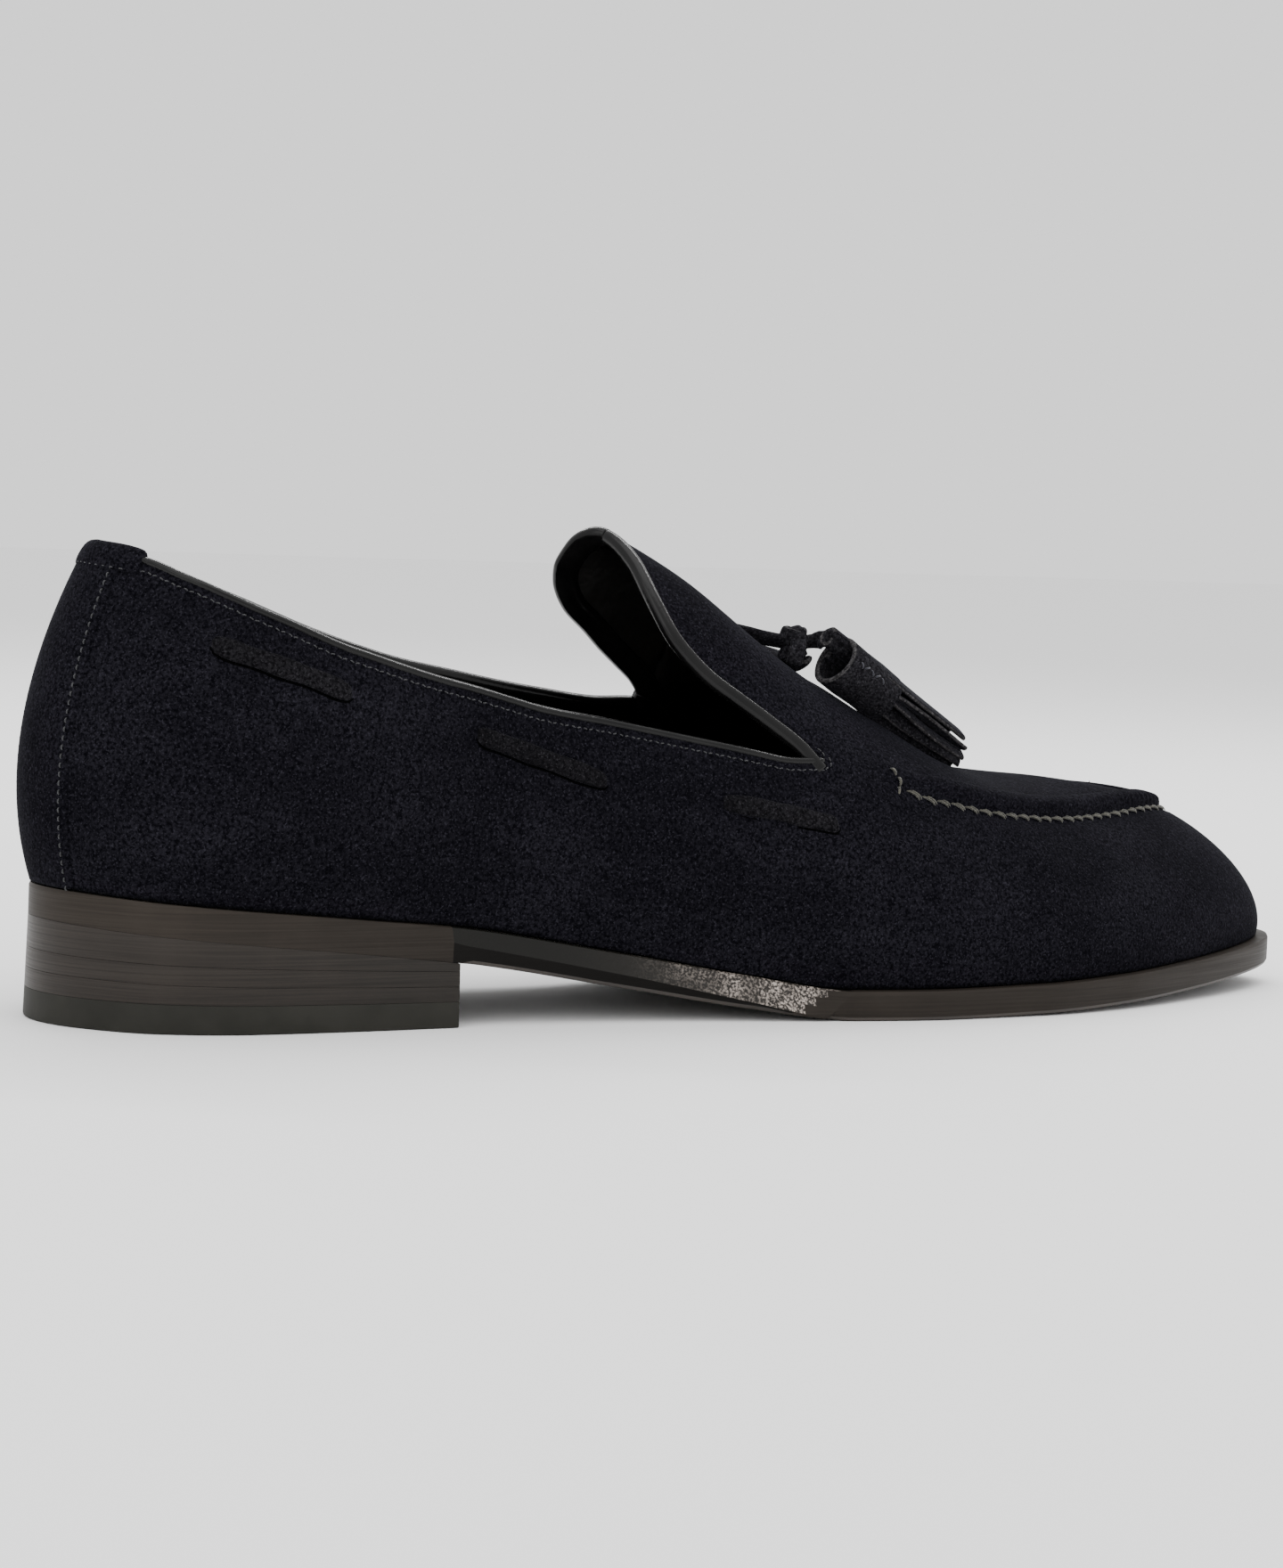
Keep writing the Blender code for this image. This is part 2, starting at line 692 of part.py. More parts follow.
def build_bindings(parts, frame):
    """The bound edges: one bead on each side of the collar, one round the tongue, and the heel's tab."""
    radius = BINDING_DIAMETER / 2
    black = (0.010, 0.010, 0.010)
    clear = (TAB_DIAMETER + BINDING_DIAMETER) / SOLE_LENGTH / 2
    for name, side in SIDES.items():
        stations = COLLAR[side]["station"]
        reach = math.sqrt(TAB_STATION) + clear
        angle = np.linspace(turn(reach**2), turn(stations[-1] - 0.012), 24)
        path = bead_path(side, angle, collar_height(side, angle), radius)
        tube(f"collar_binding_{name}", path, radius, black, 0.25, parts, frame)

    paths = []
    for side in (LATERAL, MEDIAL):
        angle, height = tongue_rim(side, np.linspace(0.20, 0.97, 16))
        paths.append(bead_path(side, angle, height, radius))
    path = np.concatenate([paths[0], paths[1][::-1]])
    tube("tongue_binding", path, radius, black, 0.25, parts, frame)

    angle = np.linspace(-turn(TAB_STATION), turn(TAB_STATION), 11)
    side, angle = fold(np.full(len(angle), LATERAL), angle)
    rim = np.where(side == LATERAL, collar_height(LATERAL, angle), collar_height(MEDIAL, angle))
    points = skin(side, angle, rim)
    normal = outward(side, angle, rim)
    up = unit(last(side, angle, rim + STEP) - last(side, angle, rim - STEP))
    path = points - normal * (UPPER_WALL - BACKSTAY_THICKNESS) / 2 + up * (TAB_DIAMETER / 2 + GAP)
    tube("heel_tab", path, TAB_DIAMETER / 2, (0.012, 0.013, 0.022), 0.95, parts, frame)


def off_last(side, row):
    """A point that stands off the last."""
    station, height, lift = row
    return skin(side, np.array([turn(station)]), np.array([height]), lift * THONG_DIAMETER)[0]


def knot_face(towards):
    """The point where a thong that goes towards a place leaves the knot."""
    middle = off_last(KNOT["side"], KNOT["at"])
    way = unit(towards - middle)
    return middle + way * (0.5 / np.linalg.norm(way / np.array(KNOT_SIZE)) + 1.5 * GAP)


def line_through(points, count):
    """Evenly spaced points along a few points."""
    points = np.array(points)
    along = np.concatenate([[0], np.cumsum(np.linalg.norm(np.diff(points, axis=0), axis=1))])
    at = np.linspace(0, along[-1], count)
    return np.stack([np.interp(at, along, points[:, k]) for k in range(3)], axis=-1)


def build_ties(parts, frame):
    """The thongs that leave the vamp, the knot between them, and the thongs on to the tassels."""
    suede = (0.012, 0.013, 0.020)
    for name, side in SIDES.items():
        leave = off_last(side, TIES[side]["exit"])
        path = line_through([leave, knot_face(leave)], 4)
        tube(f"thong_vamp_{name}", path, THONG_DIAMETER / 2, suede, 0.9, parts, frame)
        bend = off_last(side, TIES[side]["bend"])
        top, along, _, _ = tassel_axes(side)
        path = line_through([knot_face(bend), bend, top - along * THONG_DIAMETER * 0.45], 5)
        tube(f"thong_tassel_{name}", path, THONG_DIAMETER / 2, suede, 0.9, parts, frame)

    work = bmesh.new()
    bmesh.ops.create_uvsphere(work, u_segments=14, v_segments=9, radius=0.5)
    mesh = bpy.data.meshes.new("knot")
    work.to_mesh(mesh)
    work.free()
    middle = off_last(KNOT["side"], KNOT["at"])
    for vertex in mesh.vertices:
        vertex.co = [middle[k] + vertex.co[k] * KNOT_SIZE[k] for k in range(3)]
    finish("knot", mesh, suede, 0.9, parts, frame)


def tassel_axes(side):
    """The tassel's top, its direction, and two directions across it."""
    top = off_last(side, TIES[side]["cap"])
    along = unit(off_last(side, TIES[side]["aim"]) - top)
    across = unit(np.cross([0.0, 0.0, 1.0], along))
    return top, along, across, np.cross(along, across)


def down_the_side(side):
    """The direction down the vamp's side beside a tassel."""
    station, height, _ = TIES[side]["aim"]
    angle = np.array([turn(station)])
    above, below = np.array([height + STEP]), np.array([height - STEP])
    return unit(last(side, angle, below) - last(side, angle, above))[0]


def build_tassel(name, side, parts, cutters, frame):
    """A rolled cap with strips fused into its mouth. The strips droop down the vamp's side."""
    top, along, across, rise = tassel_axes(side)
    radius = TASSEL_CAP_DIAMETER / 2
    profile = table(
        "along radius",
        [(0.0, 0.94), (0.06, 1.00), (0.50, 0.98), (0.94, 0.95), (1.0, 0.90)],
    )
    rings = []
    for share, wide in zip(profile["along"], profile["radius"]):
        angles = np.linspace(0, 2 * math.pi, 17)[:-1]
        centre = top + along * share * TASSEL_CAP_LENGTH
        rings.append([centre + radius * wide * (math.cos(a) * across + math.sin(a) * rise) for a in angles])
    cap = finish(name, loft(name, rings), (0.012, 0.013, 0.020), 0.9, parts, frame)

    mouth = top + along * TASSEL_CAP_LENGTH
    slope = down_the_side(side)
    for k in range(FRINGE_STRIPS):
        angle = 2 * math.pi * (k + 0.5) / FRINGE_STRIPS
        tangent = -math.sin(angle) * across + math.cos(angle) * rise
        rings = []
        for t in np.linspace(0, 1, 5):
            reach = FRINGE_LENGTH * t * (1 - 0.06 * (k % 3)) - 0.002 * (1 - t) * (1 + 0.15 * k)
            spoke = math.cos(angle) * across + math.sin(angle) * rise * (1 - FRINGE_FLATTENING * t)
            middle = mouth + along * reach + radius * (spoke * (0.56 + 0.14 * t) + slope * FRINGE_DROOP * t * t)
            half_width = tangent * FRINGE_STRIP_WIDTH / 2
            half_depth = unit(spoke) * FRINGE_STRIP_THICKNESS / 2
            rings.append(
                [
                    middle - half_width - half_depth,
                    middle + half_width - half_depth,
                    middle + half_width + half_depth,
                    middle - half_width + half_depth,
                ]
            )
        strip = bpy.data.objects.new(f"{name}_strip_{k + 1}", loft(f"{name}_strip_{k + 1}", rings))
        strip.parent = frame
        strip.hide_render = True
        strip.display_type = "WIRE"
        cutters.objects.link(strip)
        join = cap.modifiers.new(f"strip_{k + 1}", "BOOLEAN")
        join.operation = "UNION"
        join.object = strip


def main():
    for old in list(bpy.data.objects):
        bpy.data.objects.remove(old)
    parts = bpy.data.collections.new("tassel_loafer")
    cutters = bpy.data.collections.new("tassel_loafer_cutters")
    for group in (parts, cutters):
        bpy.context.scene.collection.children.link(group)
    frame = bpy.data.objects.new("loafer_frame", None)
    frame.location = (-HEEL_LENGTH / 2, 0.0, 0.0)
    parts.objects.link(frame)

    build_upper(parts, frame)
    build_sole(parts, frame)
    build_heel(parts, frame)
    build_backstay(parts, frame)
    build_side_laces(parts, frame)
    build_bindings(parts, frame)
    build_ties(parts, frame)
    for name, side in SIDES.items():
        build_tassel(f"tassel_{name}", side, parts, cutters, frame)


main()
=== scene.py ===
"""The looks of the tassel loafer: the fine surfaces, stitches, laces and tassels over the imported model,
with their materials, a plain floor, soft lights and the camera.

Lengths are in metres. The shapes are worked out in a frame that starts at the rear of the sole, with X to
the toe, Y to the medial side and Z up, and place() moves them into the model's own frame.
"""

from math import cos, pi, radians, sin

import bmesh
import bpy
import numpy as np
from mathutils import Matrix, Vector


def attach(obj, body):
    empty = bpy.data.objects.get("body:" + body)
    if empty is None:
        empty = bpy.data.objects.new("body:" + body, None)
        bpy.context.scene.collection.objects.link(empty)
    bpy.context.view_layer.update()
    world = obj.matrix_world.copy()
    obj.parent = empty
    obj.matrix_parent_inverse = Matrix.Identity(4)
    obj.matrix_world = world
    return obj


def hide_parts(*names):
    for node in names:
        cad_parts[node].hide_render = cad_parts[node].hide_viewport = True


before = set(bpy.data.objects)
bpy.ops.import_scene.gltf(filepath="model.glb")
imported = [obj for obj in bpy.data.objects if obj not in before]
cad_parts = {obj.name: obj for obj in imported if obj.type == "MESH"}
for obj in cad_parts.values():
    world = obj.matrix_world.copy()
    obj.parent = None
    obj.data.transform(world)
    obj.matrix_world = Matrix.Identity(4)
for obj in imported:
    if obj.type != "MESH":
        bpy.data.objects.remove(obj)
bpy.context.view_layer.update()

# Driving sizes in metres
SOLE_LENGTH = 0.300
BALL_WIDTH = 0.0955
WAIST_WIDTH = 0.0594
HEEL_WIDTH = 0.0620
HEEL_LENGTH = 0.0776
HEEL_HEIGHT = 0.0203
TOE_SPRING = 0.0052
SOLE_THICKNESS = 0.0062
WAIST_BEVEL = 0.0028
TOP_LIFT_HEIGHT = 0.0060
LIFT_HEIGHT = 0.0040
HEEL_FLARE = 0.0005
CONE_HEIGHT = 0.122
INSTEP_HEIGHT = 0.1006
TOE_HEIGHT = 0.0440
UPPER_WALL = 0.0020
FEATHER_INSET = 0.0024
INSOLE_THICKNESS = 0.0025
INSOLE_CLEARANCE = 0.0006
RIDGE_HEIGHT = 0.0030
RIDGE_WIDTH = 0.0050
BACKSTAY_THICKNESS = 0.0009
LACE_WIDTH = 0.0042
LACE_THICKNESS = 0.0012
THONG_DIAMETER = 0.0034
KNOT_SIZE = (0.0076, 0.0070, 0.0094)
TASSEL_CAP_LENGTH = 0.0152
TASSEL_CAP_DIAMETER = 0.0116
FRINGE_LENGTH = 0.0222
FRINGE_STRIP_THICKNESS = 0.0012
THONG_WIDTH = 0.0040
THONG_THICKNESS = 0.0016
KNOT_THICKNESS = 0.0017
CORE_RISE = 0.0033
GATHER_PITCH = 0.0034
GATHER_HEIGHT = 0.00016
GAP = 0.0003
MM = 0.001

# Shares: how much flatter the fringe's ring gets and how far it droops, in its radius, and how far the
# suede climbs the collar's binding, in the last's height. The backstay's edge is an angle round the plan.
FRINGE_FLATTENING = 0.10
FRINGE_DROOP = 0.85
COLLAR_RISE = 0.016
BACKSTAY_EDGE = 0.213

# The step of the slopes that are measured on the last, and how near two points are one
STEP = 0.01
MERGE = 0.00001

LATERAL = -1
MEDIAL = 1
SIDES = {"lateral": LATERAL, "medial": MEDIAL}


def table(columns, rows):
    """Rows of numbers as one list for each named column."""
    return {name: [row[i] for row in rows] for i, name in enumerate(columns.split())}


# The sole's edge: stations as shares of the length, half widths as shares of the named width
WIDTHS = {"heel": HEEL_WIDTH, "waist": WAIST_WIDTH, "ball": BALL_WIDTH}
OUTLINE = table(
    "station of lateral medial",
    [
        (0.000, "heel", 0.000, 0.000),
        (0.020, "heel", 0.250, 0.242),
        (0.060, "heel", 0.416, 0.406),
        (0.120, "heel", 0.489, 0.484),
        (0.200, "heel", 0.500, 0.489),
        (0.270, "heel", 0.494, 0.460),
        (0.400, "waist", 0.571, 0.429),
        (0.500, "ball", 0.414, 0.325),
        (0.620, "ball", 0.475, 0.466),
        (0.700, "ball", 0.470, 0.529),
        (0.780, "ball", 0.424, 0.518),
        (0.860, "ball", 0.333, 0.440),
        (0.930, "ball", 0.230, 0.309),
        (0.975, "ball", 0.138, 0.183),
        (1.000, "ball", 0.000, 0.000),
    ],
)

# The sole's underside above the floor, as shares of the named height
RISES = {"heel": HEEL_HEIGHT, "toe": TOE_SPRING}
UNDERSIDE = table(
    "station of height",
    [
        (0.000, "heel", 1.000), (0.260, "heel", 0.630), (0.385, "heel", 0.330),
        (0.470, "heel", 0.128), (0.545, "heel", 0.000), (0.600, "toe", 0.000),
        (0.700, "toe", 0.080), (0.800, "toe", 0.280), (0.900, "toe", 0.590), (1.000, "toe", 1.000),
    ],
)

# The sole's edge: its thickness, and the bevel that slopes out and down from the upper along the waist
SOLE_EDGE = table(
    "station thickness bevel drop",
    [
        (0.000, 1.00, 0.10, 0.10), (0.200, 1.08, 0.10, 0.10), (0.270, 1.14, 0.45, 0.50),
        (0.380, 1.14, 0.85, 0.60), (0.450, 1.10, 1.00, 0.72), (0.500, 1.05, 1.00, 0.86),
        (0.522, 1.02, 0.90, 0.90), (0.545, 1.00, 0.10, 0.10), (1.000, 1.00, 0.10, 0.10),
    ],
)

# How far the upper stands in from the sole's edge, as shares of FEATHER_INSET
INSET = table(
    "station inset",
    [(0.0, 0.45), (0.2, 0.55), (0.3, 1.25), (0.5, 1.30), (0.56, 1.0), (0.8, 1.0), (1.0, 1.17)],
)

# The last's crest, from the closed cone over the heel to the toe, as shares of the named height
CREST_REAR = 0.150
CREST_FRONT = 0.833
TOPS = {"cone": CONE_HEIGHT, "instep": INSTEP_HEIGHT, "toe": TOE_HEIGHT}
CREST = table(
    "station of height",
    [
        (0.150, "cone", 1.000), (0.233, "cone", 1.000), (0.317, "cone", 0.930),
        (0.400, "instep", 1.000), (0.467, "instep", 0.895), (0.533, "instep", 0.743),
        (0.583, "instep", 0.637), (0.633, "instep", 0.549), (0.683, "toe", 1.142),
        (0.733, "toe", 1.098), (0.783, "toe", 1.072), (0.840, "toe", 1.007),
    ],
)

# Each section of the last: the crest's shift to the medial side and the swell of each wall as shares of
# the ball width, and how square its shoulder is, from 1 for a straight slope past 2 for an ellipse
SECTIONS = table(
    "station shift square lateral medial",
    [
        (0.00, 0.000, 2.12, 0.045, 0.045),
        (0.03, 0.000, 2.10, 0.045, 0.045),
        (0.06, 0.000, 2.10, 0.048, 0.048),
        (0.15, 0.000, 2.05, 0.044, 0.048),
        (0.27, 0.000, 2.00, 0.031, 0.061),
        (0.40, 0.007, 2.00, 0.023, 0.080),
        (0.50, 0.014, 2.00, 0.021, 0.065),
        (0.60, 0.021, 2.00, 0.019, 0.042),
        (0.70, 0.024, 2.05, 0.016, 0.021),
        (0.85, 0.024, 1.95, 0.012, 0.012),
        (1.00, 0.005, 1.72, 0.013, 0.013),
    ],
)

# The apron's seam, and how it fades in behind the toe; height is the share of the way up to the crest
APRON = table(
    "station height strength",
    [
        (0.590, 0.470, 0.0), (0.625, 0.463, 0.7), (0.656, 0.478, 1.0), (0.700, 0.502, 1.0),
        (0.753, 0.535, 1.0), (0.839, 0.578, 1.0), (0.908, 0.618, 1.0), (0.973, 0.667, 0.85),
        (1.000, 0.684, 0.7),
    ],
)
# The ridge's form across the seam, as shares of RIDGE_WIDTH and RIDGE_HEIGHT
RIDGE = table(
    "across height",
    [
        (-0.60, 0.0), (-0.25, -0.10), (0.00, -0.06), (0.12, 0.40), (0.28, 0.84), (0.50, 1.00),
        (0.85, 0.95), (1.00, 0.80), (1.14, 0.40), (1.40, 0.34), (2.20, 0.18), (4.00, 0.0),
    ],
)

# The rim of the opening on each side: up the collar from the back to the notch, then up the tongue
COLLAR = {
    LATERAL: table(
        "station height",
        [
            (0.000, 0.450), (0.020, 0.443), (0.045, 0.420), (0.072, 0.396), (0.102, 0.372),
            (0.166, 0.337), (0.233, 0.329), (0.302, 0.328), (0.368, 0.345), (0.447, 0.366),
            (0.500, 0.390), (0.538, 0.434),
        ],
    ),
    MEDIAL: table(
        "station height",
        [
            (0.000, 0.450), (0.030, 0.446), (0.067, 0.430), (0.107, 0.412), (0.144, 0.395),
            (0.180, 0.382), (0.215, 0.373), (0.274, 0.364), (0.333, 0.377), (0.400, 0.399),
            (0.440, 0.418), (0.484, 0.462),
        ],
    ),
}
TONGUE = {
    LATERAL: table(
        "station height",
        [
            (0.538, 0.434), (0.523, 0.474), (0.498, 0.497), (0.477, 0.512), (0.456, 0.532),
            (0.441, 0.562), (0.429, 0.602), (0.421, 0.656), (0.414, 0.725), (0.408, 0.810),
            (0.398, 0.910), (0.388, 1.000),
        ],
    ),
    MEDIAL: table(
        "station height",
        [
            (0.484, 0.462), (0.488, 0.505), (0.478, 0.532), (0.457, 0.554), (0.440, 0.572),
            (0.421, 0.599), (0.399, 0.630), (0.384, 0.682), (0.379, 0.740), (0.379, 0.820),
            (0.382, 0.910), (0.388, 1.000),
        ],
    ),
}
CREST_OF_NOTCH = 0.505
TAB_STATION = 0.021

# The side laces that show between their slits, from end to end
SIDE_LACES = table(
    "start start_height end end_height",
    [
        (0.068, 0.334, 0.166, 0.286), (0.262, 0.272, 0.364, 0.256), (0.449, 0.276, 0.540, 0.312),
    ],
)

# Where the ties stand off the last: the station, the height and the lift as a share of THONG_DIAMETER
KNOT = {"side": LATERAL, "at": (0.5785, 0.911, 1.50)}
TIES = {
    LATERAL: {
        "exit": (0.5525, 0.935, 0.60),
        "bend": (0.5866, 0.876, 2.65),
        "cap": (0.5967, 0.821, 2.06),
        "aim": (0.6650, 0.835, 1.88),
    },
    MEDIAL: {
        "exit": (0.5400, 0.820, 0.72),
        "bend": (0.6060, 0.880, 1.90),
        "cap": (0.5760, 0.690, 1.93),
        "aim": (0.6200, 0.560, 1.98),
    },
}


def monotone(xs, ys, at):
    """A smooth curve through the points, with no overshoot between them."""
    xs, ys = np.asarray(xs, float), np.asarray(ys, float)
    at = np.clip(np.asarray(at, float), xs[0], xs[-1])
    width = np.diff(xs)
    slope = np.diff(ys) / width
    tangent = np.zeros_like(ys)
    tangent[0], tangent[-1] = slope[0], slope[-1]
    for i in range(1, len(xs) - 1):
        if slope[i - 1] * slope[i] > 0:
            before = 2 * width[i] + width[i - 1]
            after = width[i] + 2 * width[i - 1]
            tangent[i] = (before + after) / (before / slope[i - 1] + after / slope[i])
    i = np.clip(np.searchsorted(xs, at, side="right") - 1, 0, len(xs) - 2)
    t = (at - xs[i]) / width[i]
    return (
        (1 + 2 * t) * (1 - t) ** 2 * ys[i]
        + t * (1 - t) ** 2 * width[i] * tangent[i]
        + t * t * (3 - 2 * t) * ys[i + 1]
        + t * t * (t - 1) * width[i] * tangent[i + 1]
    )


def turn(station):
    """The angle round the plan, from 0 at the heel's rear to pi at the toe's tip."""
    return np.arccos(1 - 2 * np.clip(np.asarray(station, float), 0, 1))


def station_at(angle):
    return (1 - np.cos(angle)) / 2


def fold(side, angle):
    """Past the heel's rear or the toe's tip, an angle goes on round the other side."""
    over = (angle < 0) | (angle > pi)
    angle = np.where(angle < 0, -angle, np.where(angle > pi, 2 * pi - angle, angle))
    return np.where(over, -side, side), angle


def plan(side, angle):
    """A point of the sole's outline."""
    half = {}
    for name, sign in SIDES.items():
        shares = [share * WIDTHS[of] for share, of in zip(OUTLINE[name], OUTLINE["of"])]
        half[sign] = sign * monotone(turn(OUTLINE["station"]), shares, angle)
    return station_at(angle) * SOLE_LENGTH, np.where(side == LATERAL, half[LATERAL], half[MEDIAL])


def inward(side, angle, inset):
    """The outline's point moved in by inset, with the outline's outward direction there."""
    x, y = plan(side, angle)
    x0, y0 = plan(*fold(side, angle - STEP))
    x1, y1 = plan(*fold(side, angle + STEP))
    out_x, out_y = -side * (y1 - y0), side * (x1 - x0)
    length = np.hypot(out_x, out_y)
    out_x, out_y = out_x / length, out_y / length
    return x - out_x * inset, y - out_y * inset, out_x, out_y


def underside(x):
    heights = [share * RISES[of] for share, of in zip(UNDERSIDE["height"], UNDERSIDE["of"])]
    return monotone(UNDERSIDE["station"], heights, x / SOLE_LENGTH)


def sole_edge(x, name):
    return monotone(SOLE_EDGE["station"], SOLE_EDGE[name], x / SOLE_LENGTH)


def sole_top(x):
    return underside(x) + SOLE_THICKNESS * sole_edge(x, "thickness")


def feather_inset(angle):
    return FEATHER_INSET * monotone(INSET["station"], INSET["inset"], station_at(angle))


def crest_top(x):
    heights = [share * TOPS[of] for share, of in zip(CREST["height"], CREST["of"])]
    return monotone(CREST["station"], heights, x / SOLE_LENGTH)


def swell_at(rise):
    """How the wall swells on its way up: nothing at the feather, most at a third, nothing at the crest."""
    return 7.2 * rise * (1 - rise) ** 2.17


def last(side, angle, height):
    """A point of the last: an angle round the plan and a share of the way from the feather to the crest.
    Past 1, the height goes on down the other side."""
    side, angle = fold(side, angle)
    side, height = np.where(height > 1, -side, side), np.where(height > 1, 2 - height, height)
    station = station_at(angle)
    foot_x, foot_y, out_x, out_y = inward(side, angle, feather_inset(angle))
    foot_z = sole_top(foot_x) + GAP
    crest_x = SOLE_LENGTH * (CREST_REAR + (CREST_FRONT - CREST_REAR) * station)
    row = {
        name: monotone(SECTIONS["station"], SECTIONS[name], station)
        for name in ("shift", "square", "lateral", "medial")
    }
    swell = BALL_WIDTH * np.where(side == LATERAL, row["lateral"], row["medial"])
    across = 1 - np.cos(height * pi / 2) ** (2 / row["square"])
    rise = np.sin(height * pi / 2) ** (2 / row["square"])
    swell = swell * swell_at(rise)
    x = foot_x + (crest_x - foot_x) * across + out_x * swell
    y = foot_y + (BALL_WIDTH * row["shift"] - foot_y) * across + out_y * swell
    z = foot_z + (crest_top(crest_x) - foot_z) * rise
    return np.stack([x, y, z], axis=-1)


def unit(vectors):
    return vectors / np.linalg.norm(vectors, axis=-1, keepdims=True)


def distances(points):
    """How far along a line each of its points lies."""
    return np.concatenate([[0], np.cumsum(np.linalg.norm(np.diff(points, axis=0), axis=1))])


def outward(side, angle, height):
    """The last's outward direction. The crest's tip takes the direction a step behind it."""
    angle = np.where(height > 1 - STEP / 2, np.minimum(angle, pi - 2 * STEP), angle)
    along = last(side, angle + STEP, height) - last(side, angle - STEP, height)
    up = last(side, angle, height + STEP) - last(side, angle, np.maximum(height - STEP, 0))
    return unit(np.cross(along, up)) * -np.asarray(side, float)[..., None]


def apron_row(angle, name):
    return monotone(APRON["station"], APRON[name], station_at(angle))


def metres_up(side, angle, height):
    """How many metres of surface a height of 1 covers there."""
    return np.linalg.norm(last(side, angle, height + STEP) - last(side, angle, height - STEP), axis=-1) / (
        2 * STEP
    )


def across_seam(side, angle, height):
    """How far a point lies above the apron's seam, as a share of RIDGE_WIDTH."""
    seam = apron_row(angle, "height")
    return (height - seam) * metres_up(side, angle, seam) / RIDGE_WIDTH


def ridge(side, angle, height):
    """How far the seam's ridge stands out."""
    profile = monotone(RIDGE["across"], RIDGE["height"], across_seam(side, angle, height))
    return RIDGE_HEIGHT * apron_row(angle, "strength") * profile


def skin(side, angle, height, out=0.0):
    """A point on the upper's outer face, or out from it."""
    side = np.broadcast_to(side, np.shape(height))
    angle = np.broadcast_to(angle, np.shape(height))
    step = out + ridge(side, angle, height)
    return last(side, angle, height) + outward(side, angle, height) * step[..., None]


def quarter_angles(side):
    """The columns from the heel's rear to the notch."""
    notch = turn(COLLAR[side]["station"][-1])
    return np.linspace(0, notch, QUARTER_COLUMNS)


def collar_height(side, angle):
    return monotone(turn(COLLAR[side]["station"]), COLLAR[side]["height"], angle)


def rim_at(side, angle):
    """The collar's height where each point has a side of its own."""
    return np.where(side == LATERAL, collar_height(LATERAL, angle), collar_height(MEDIAL, angle))


def tongue_rim(side, share):
    """The tongue's rim from the notch, at 0, to its top on the crest, at 1."""
    angles, heights = turn(TONGUE[side]["station"]), np.array(TONGUE[side]["height"])
    along = np.concatenate([[0], np.cumsum(np.hypot(np.diff(angles), np.diff(heights)))])
    return monotone(along / along[-1], angles, share), monotone(along / along[-1], heights, share)


def risen(rim, far):
    """The suede's rim, which stands a little way up the binding, and how that fades past the notch."""
    return rim + COLLAR_RISE * np.clip(1 - far, 0, 1) ** 2


def seam_height(side, angle):
    """The row that runs from the notch forward along the apron's seam."""
    stations = [COLLAR[side]["station"][-1]] + APRON["station"]
    heights = [COLLAR[side]["height"][-1]] + APRON["height"]
    return monotone(turn(stations), heights, angle)


# How finely the surfaces are divided
QUARTER_COLUMNS = 110
FRONT_COLUMNS = 150
TONGUE_COLUMNS = 46
WALL_ROWS = 54
RIDGE_ROWS = [0, 0.06, 0.12, 0.2, 0.28, 0.38, 0.5, 0.65, 0.8, 0.9]
RIDGE_ROWS += [1.0, 1.07, 1.14, 1.26, 1.45, 1.8, 2.4, 3.2, 4.2]
REST_ROWS = 11
SOLE_COLUMNS = 360
INSOLE_COLUMNS = 120
HEEL_COLUMNS = 64
BACKSTAY_COLUMNS = 33
BACKSTAY_ROWS = 70
COLLAR_BINDING_RINGS = 240
TONGUE_BINDING_RINGS = 130

STITCH_RINGS = 7
STITCH_SIDES = 6

# How deep a stitch's ends go down
STITCH_SINK = 0.0004

# Each row of stitches: how many a side has, the thread's radius and how high its bow stands
THREADS = {
    "backstay": (38, 0.00016, 0.00014),
    "collar": (60, 0.00013, 0.00010),
    "tab": (13, 0.00015, 0.00015),
    "apron": (25, 0.00025, 0.00030),
    "curl": (3, 0.00030, 0.00030),
    "tassel": (5, 0.00019, 0.00016),
}

# The camera of the photo: its place round the shoe, its height, its turns in degrees and its focal length
CAMERA_DISTANCE = 0.80418
CAMERA_SIDE = 30.24
CAMERA_HEIGHT = 0.10761
CAMERA_TURN = -0.98
CAMERA_PITCH = 4.45
CAMERA_ROLL = 2.31
CAMERA_TARGET = 0.150
SENSOR = 36.0
FOCAL_PIXELS = 4240.0
PHOTO_HEIGHT = 1760.0


def place(points):
    """From the shape's frame to the model's, whose origin is under the middle of the heel."""
    return np.asarray(points, float) - np.array([HEEL_LENGTH / 2, 0.0, 0.0])


# Materials


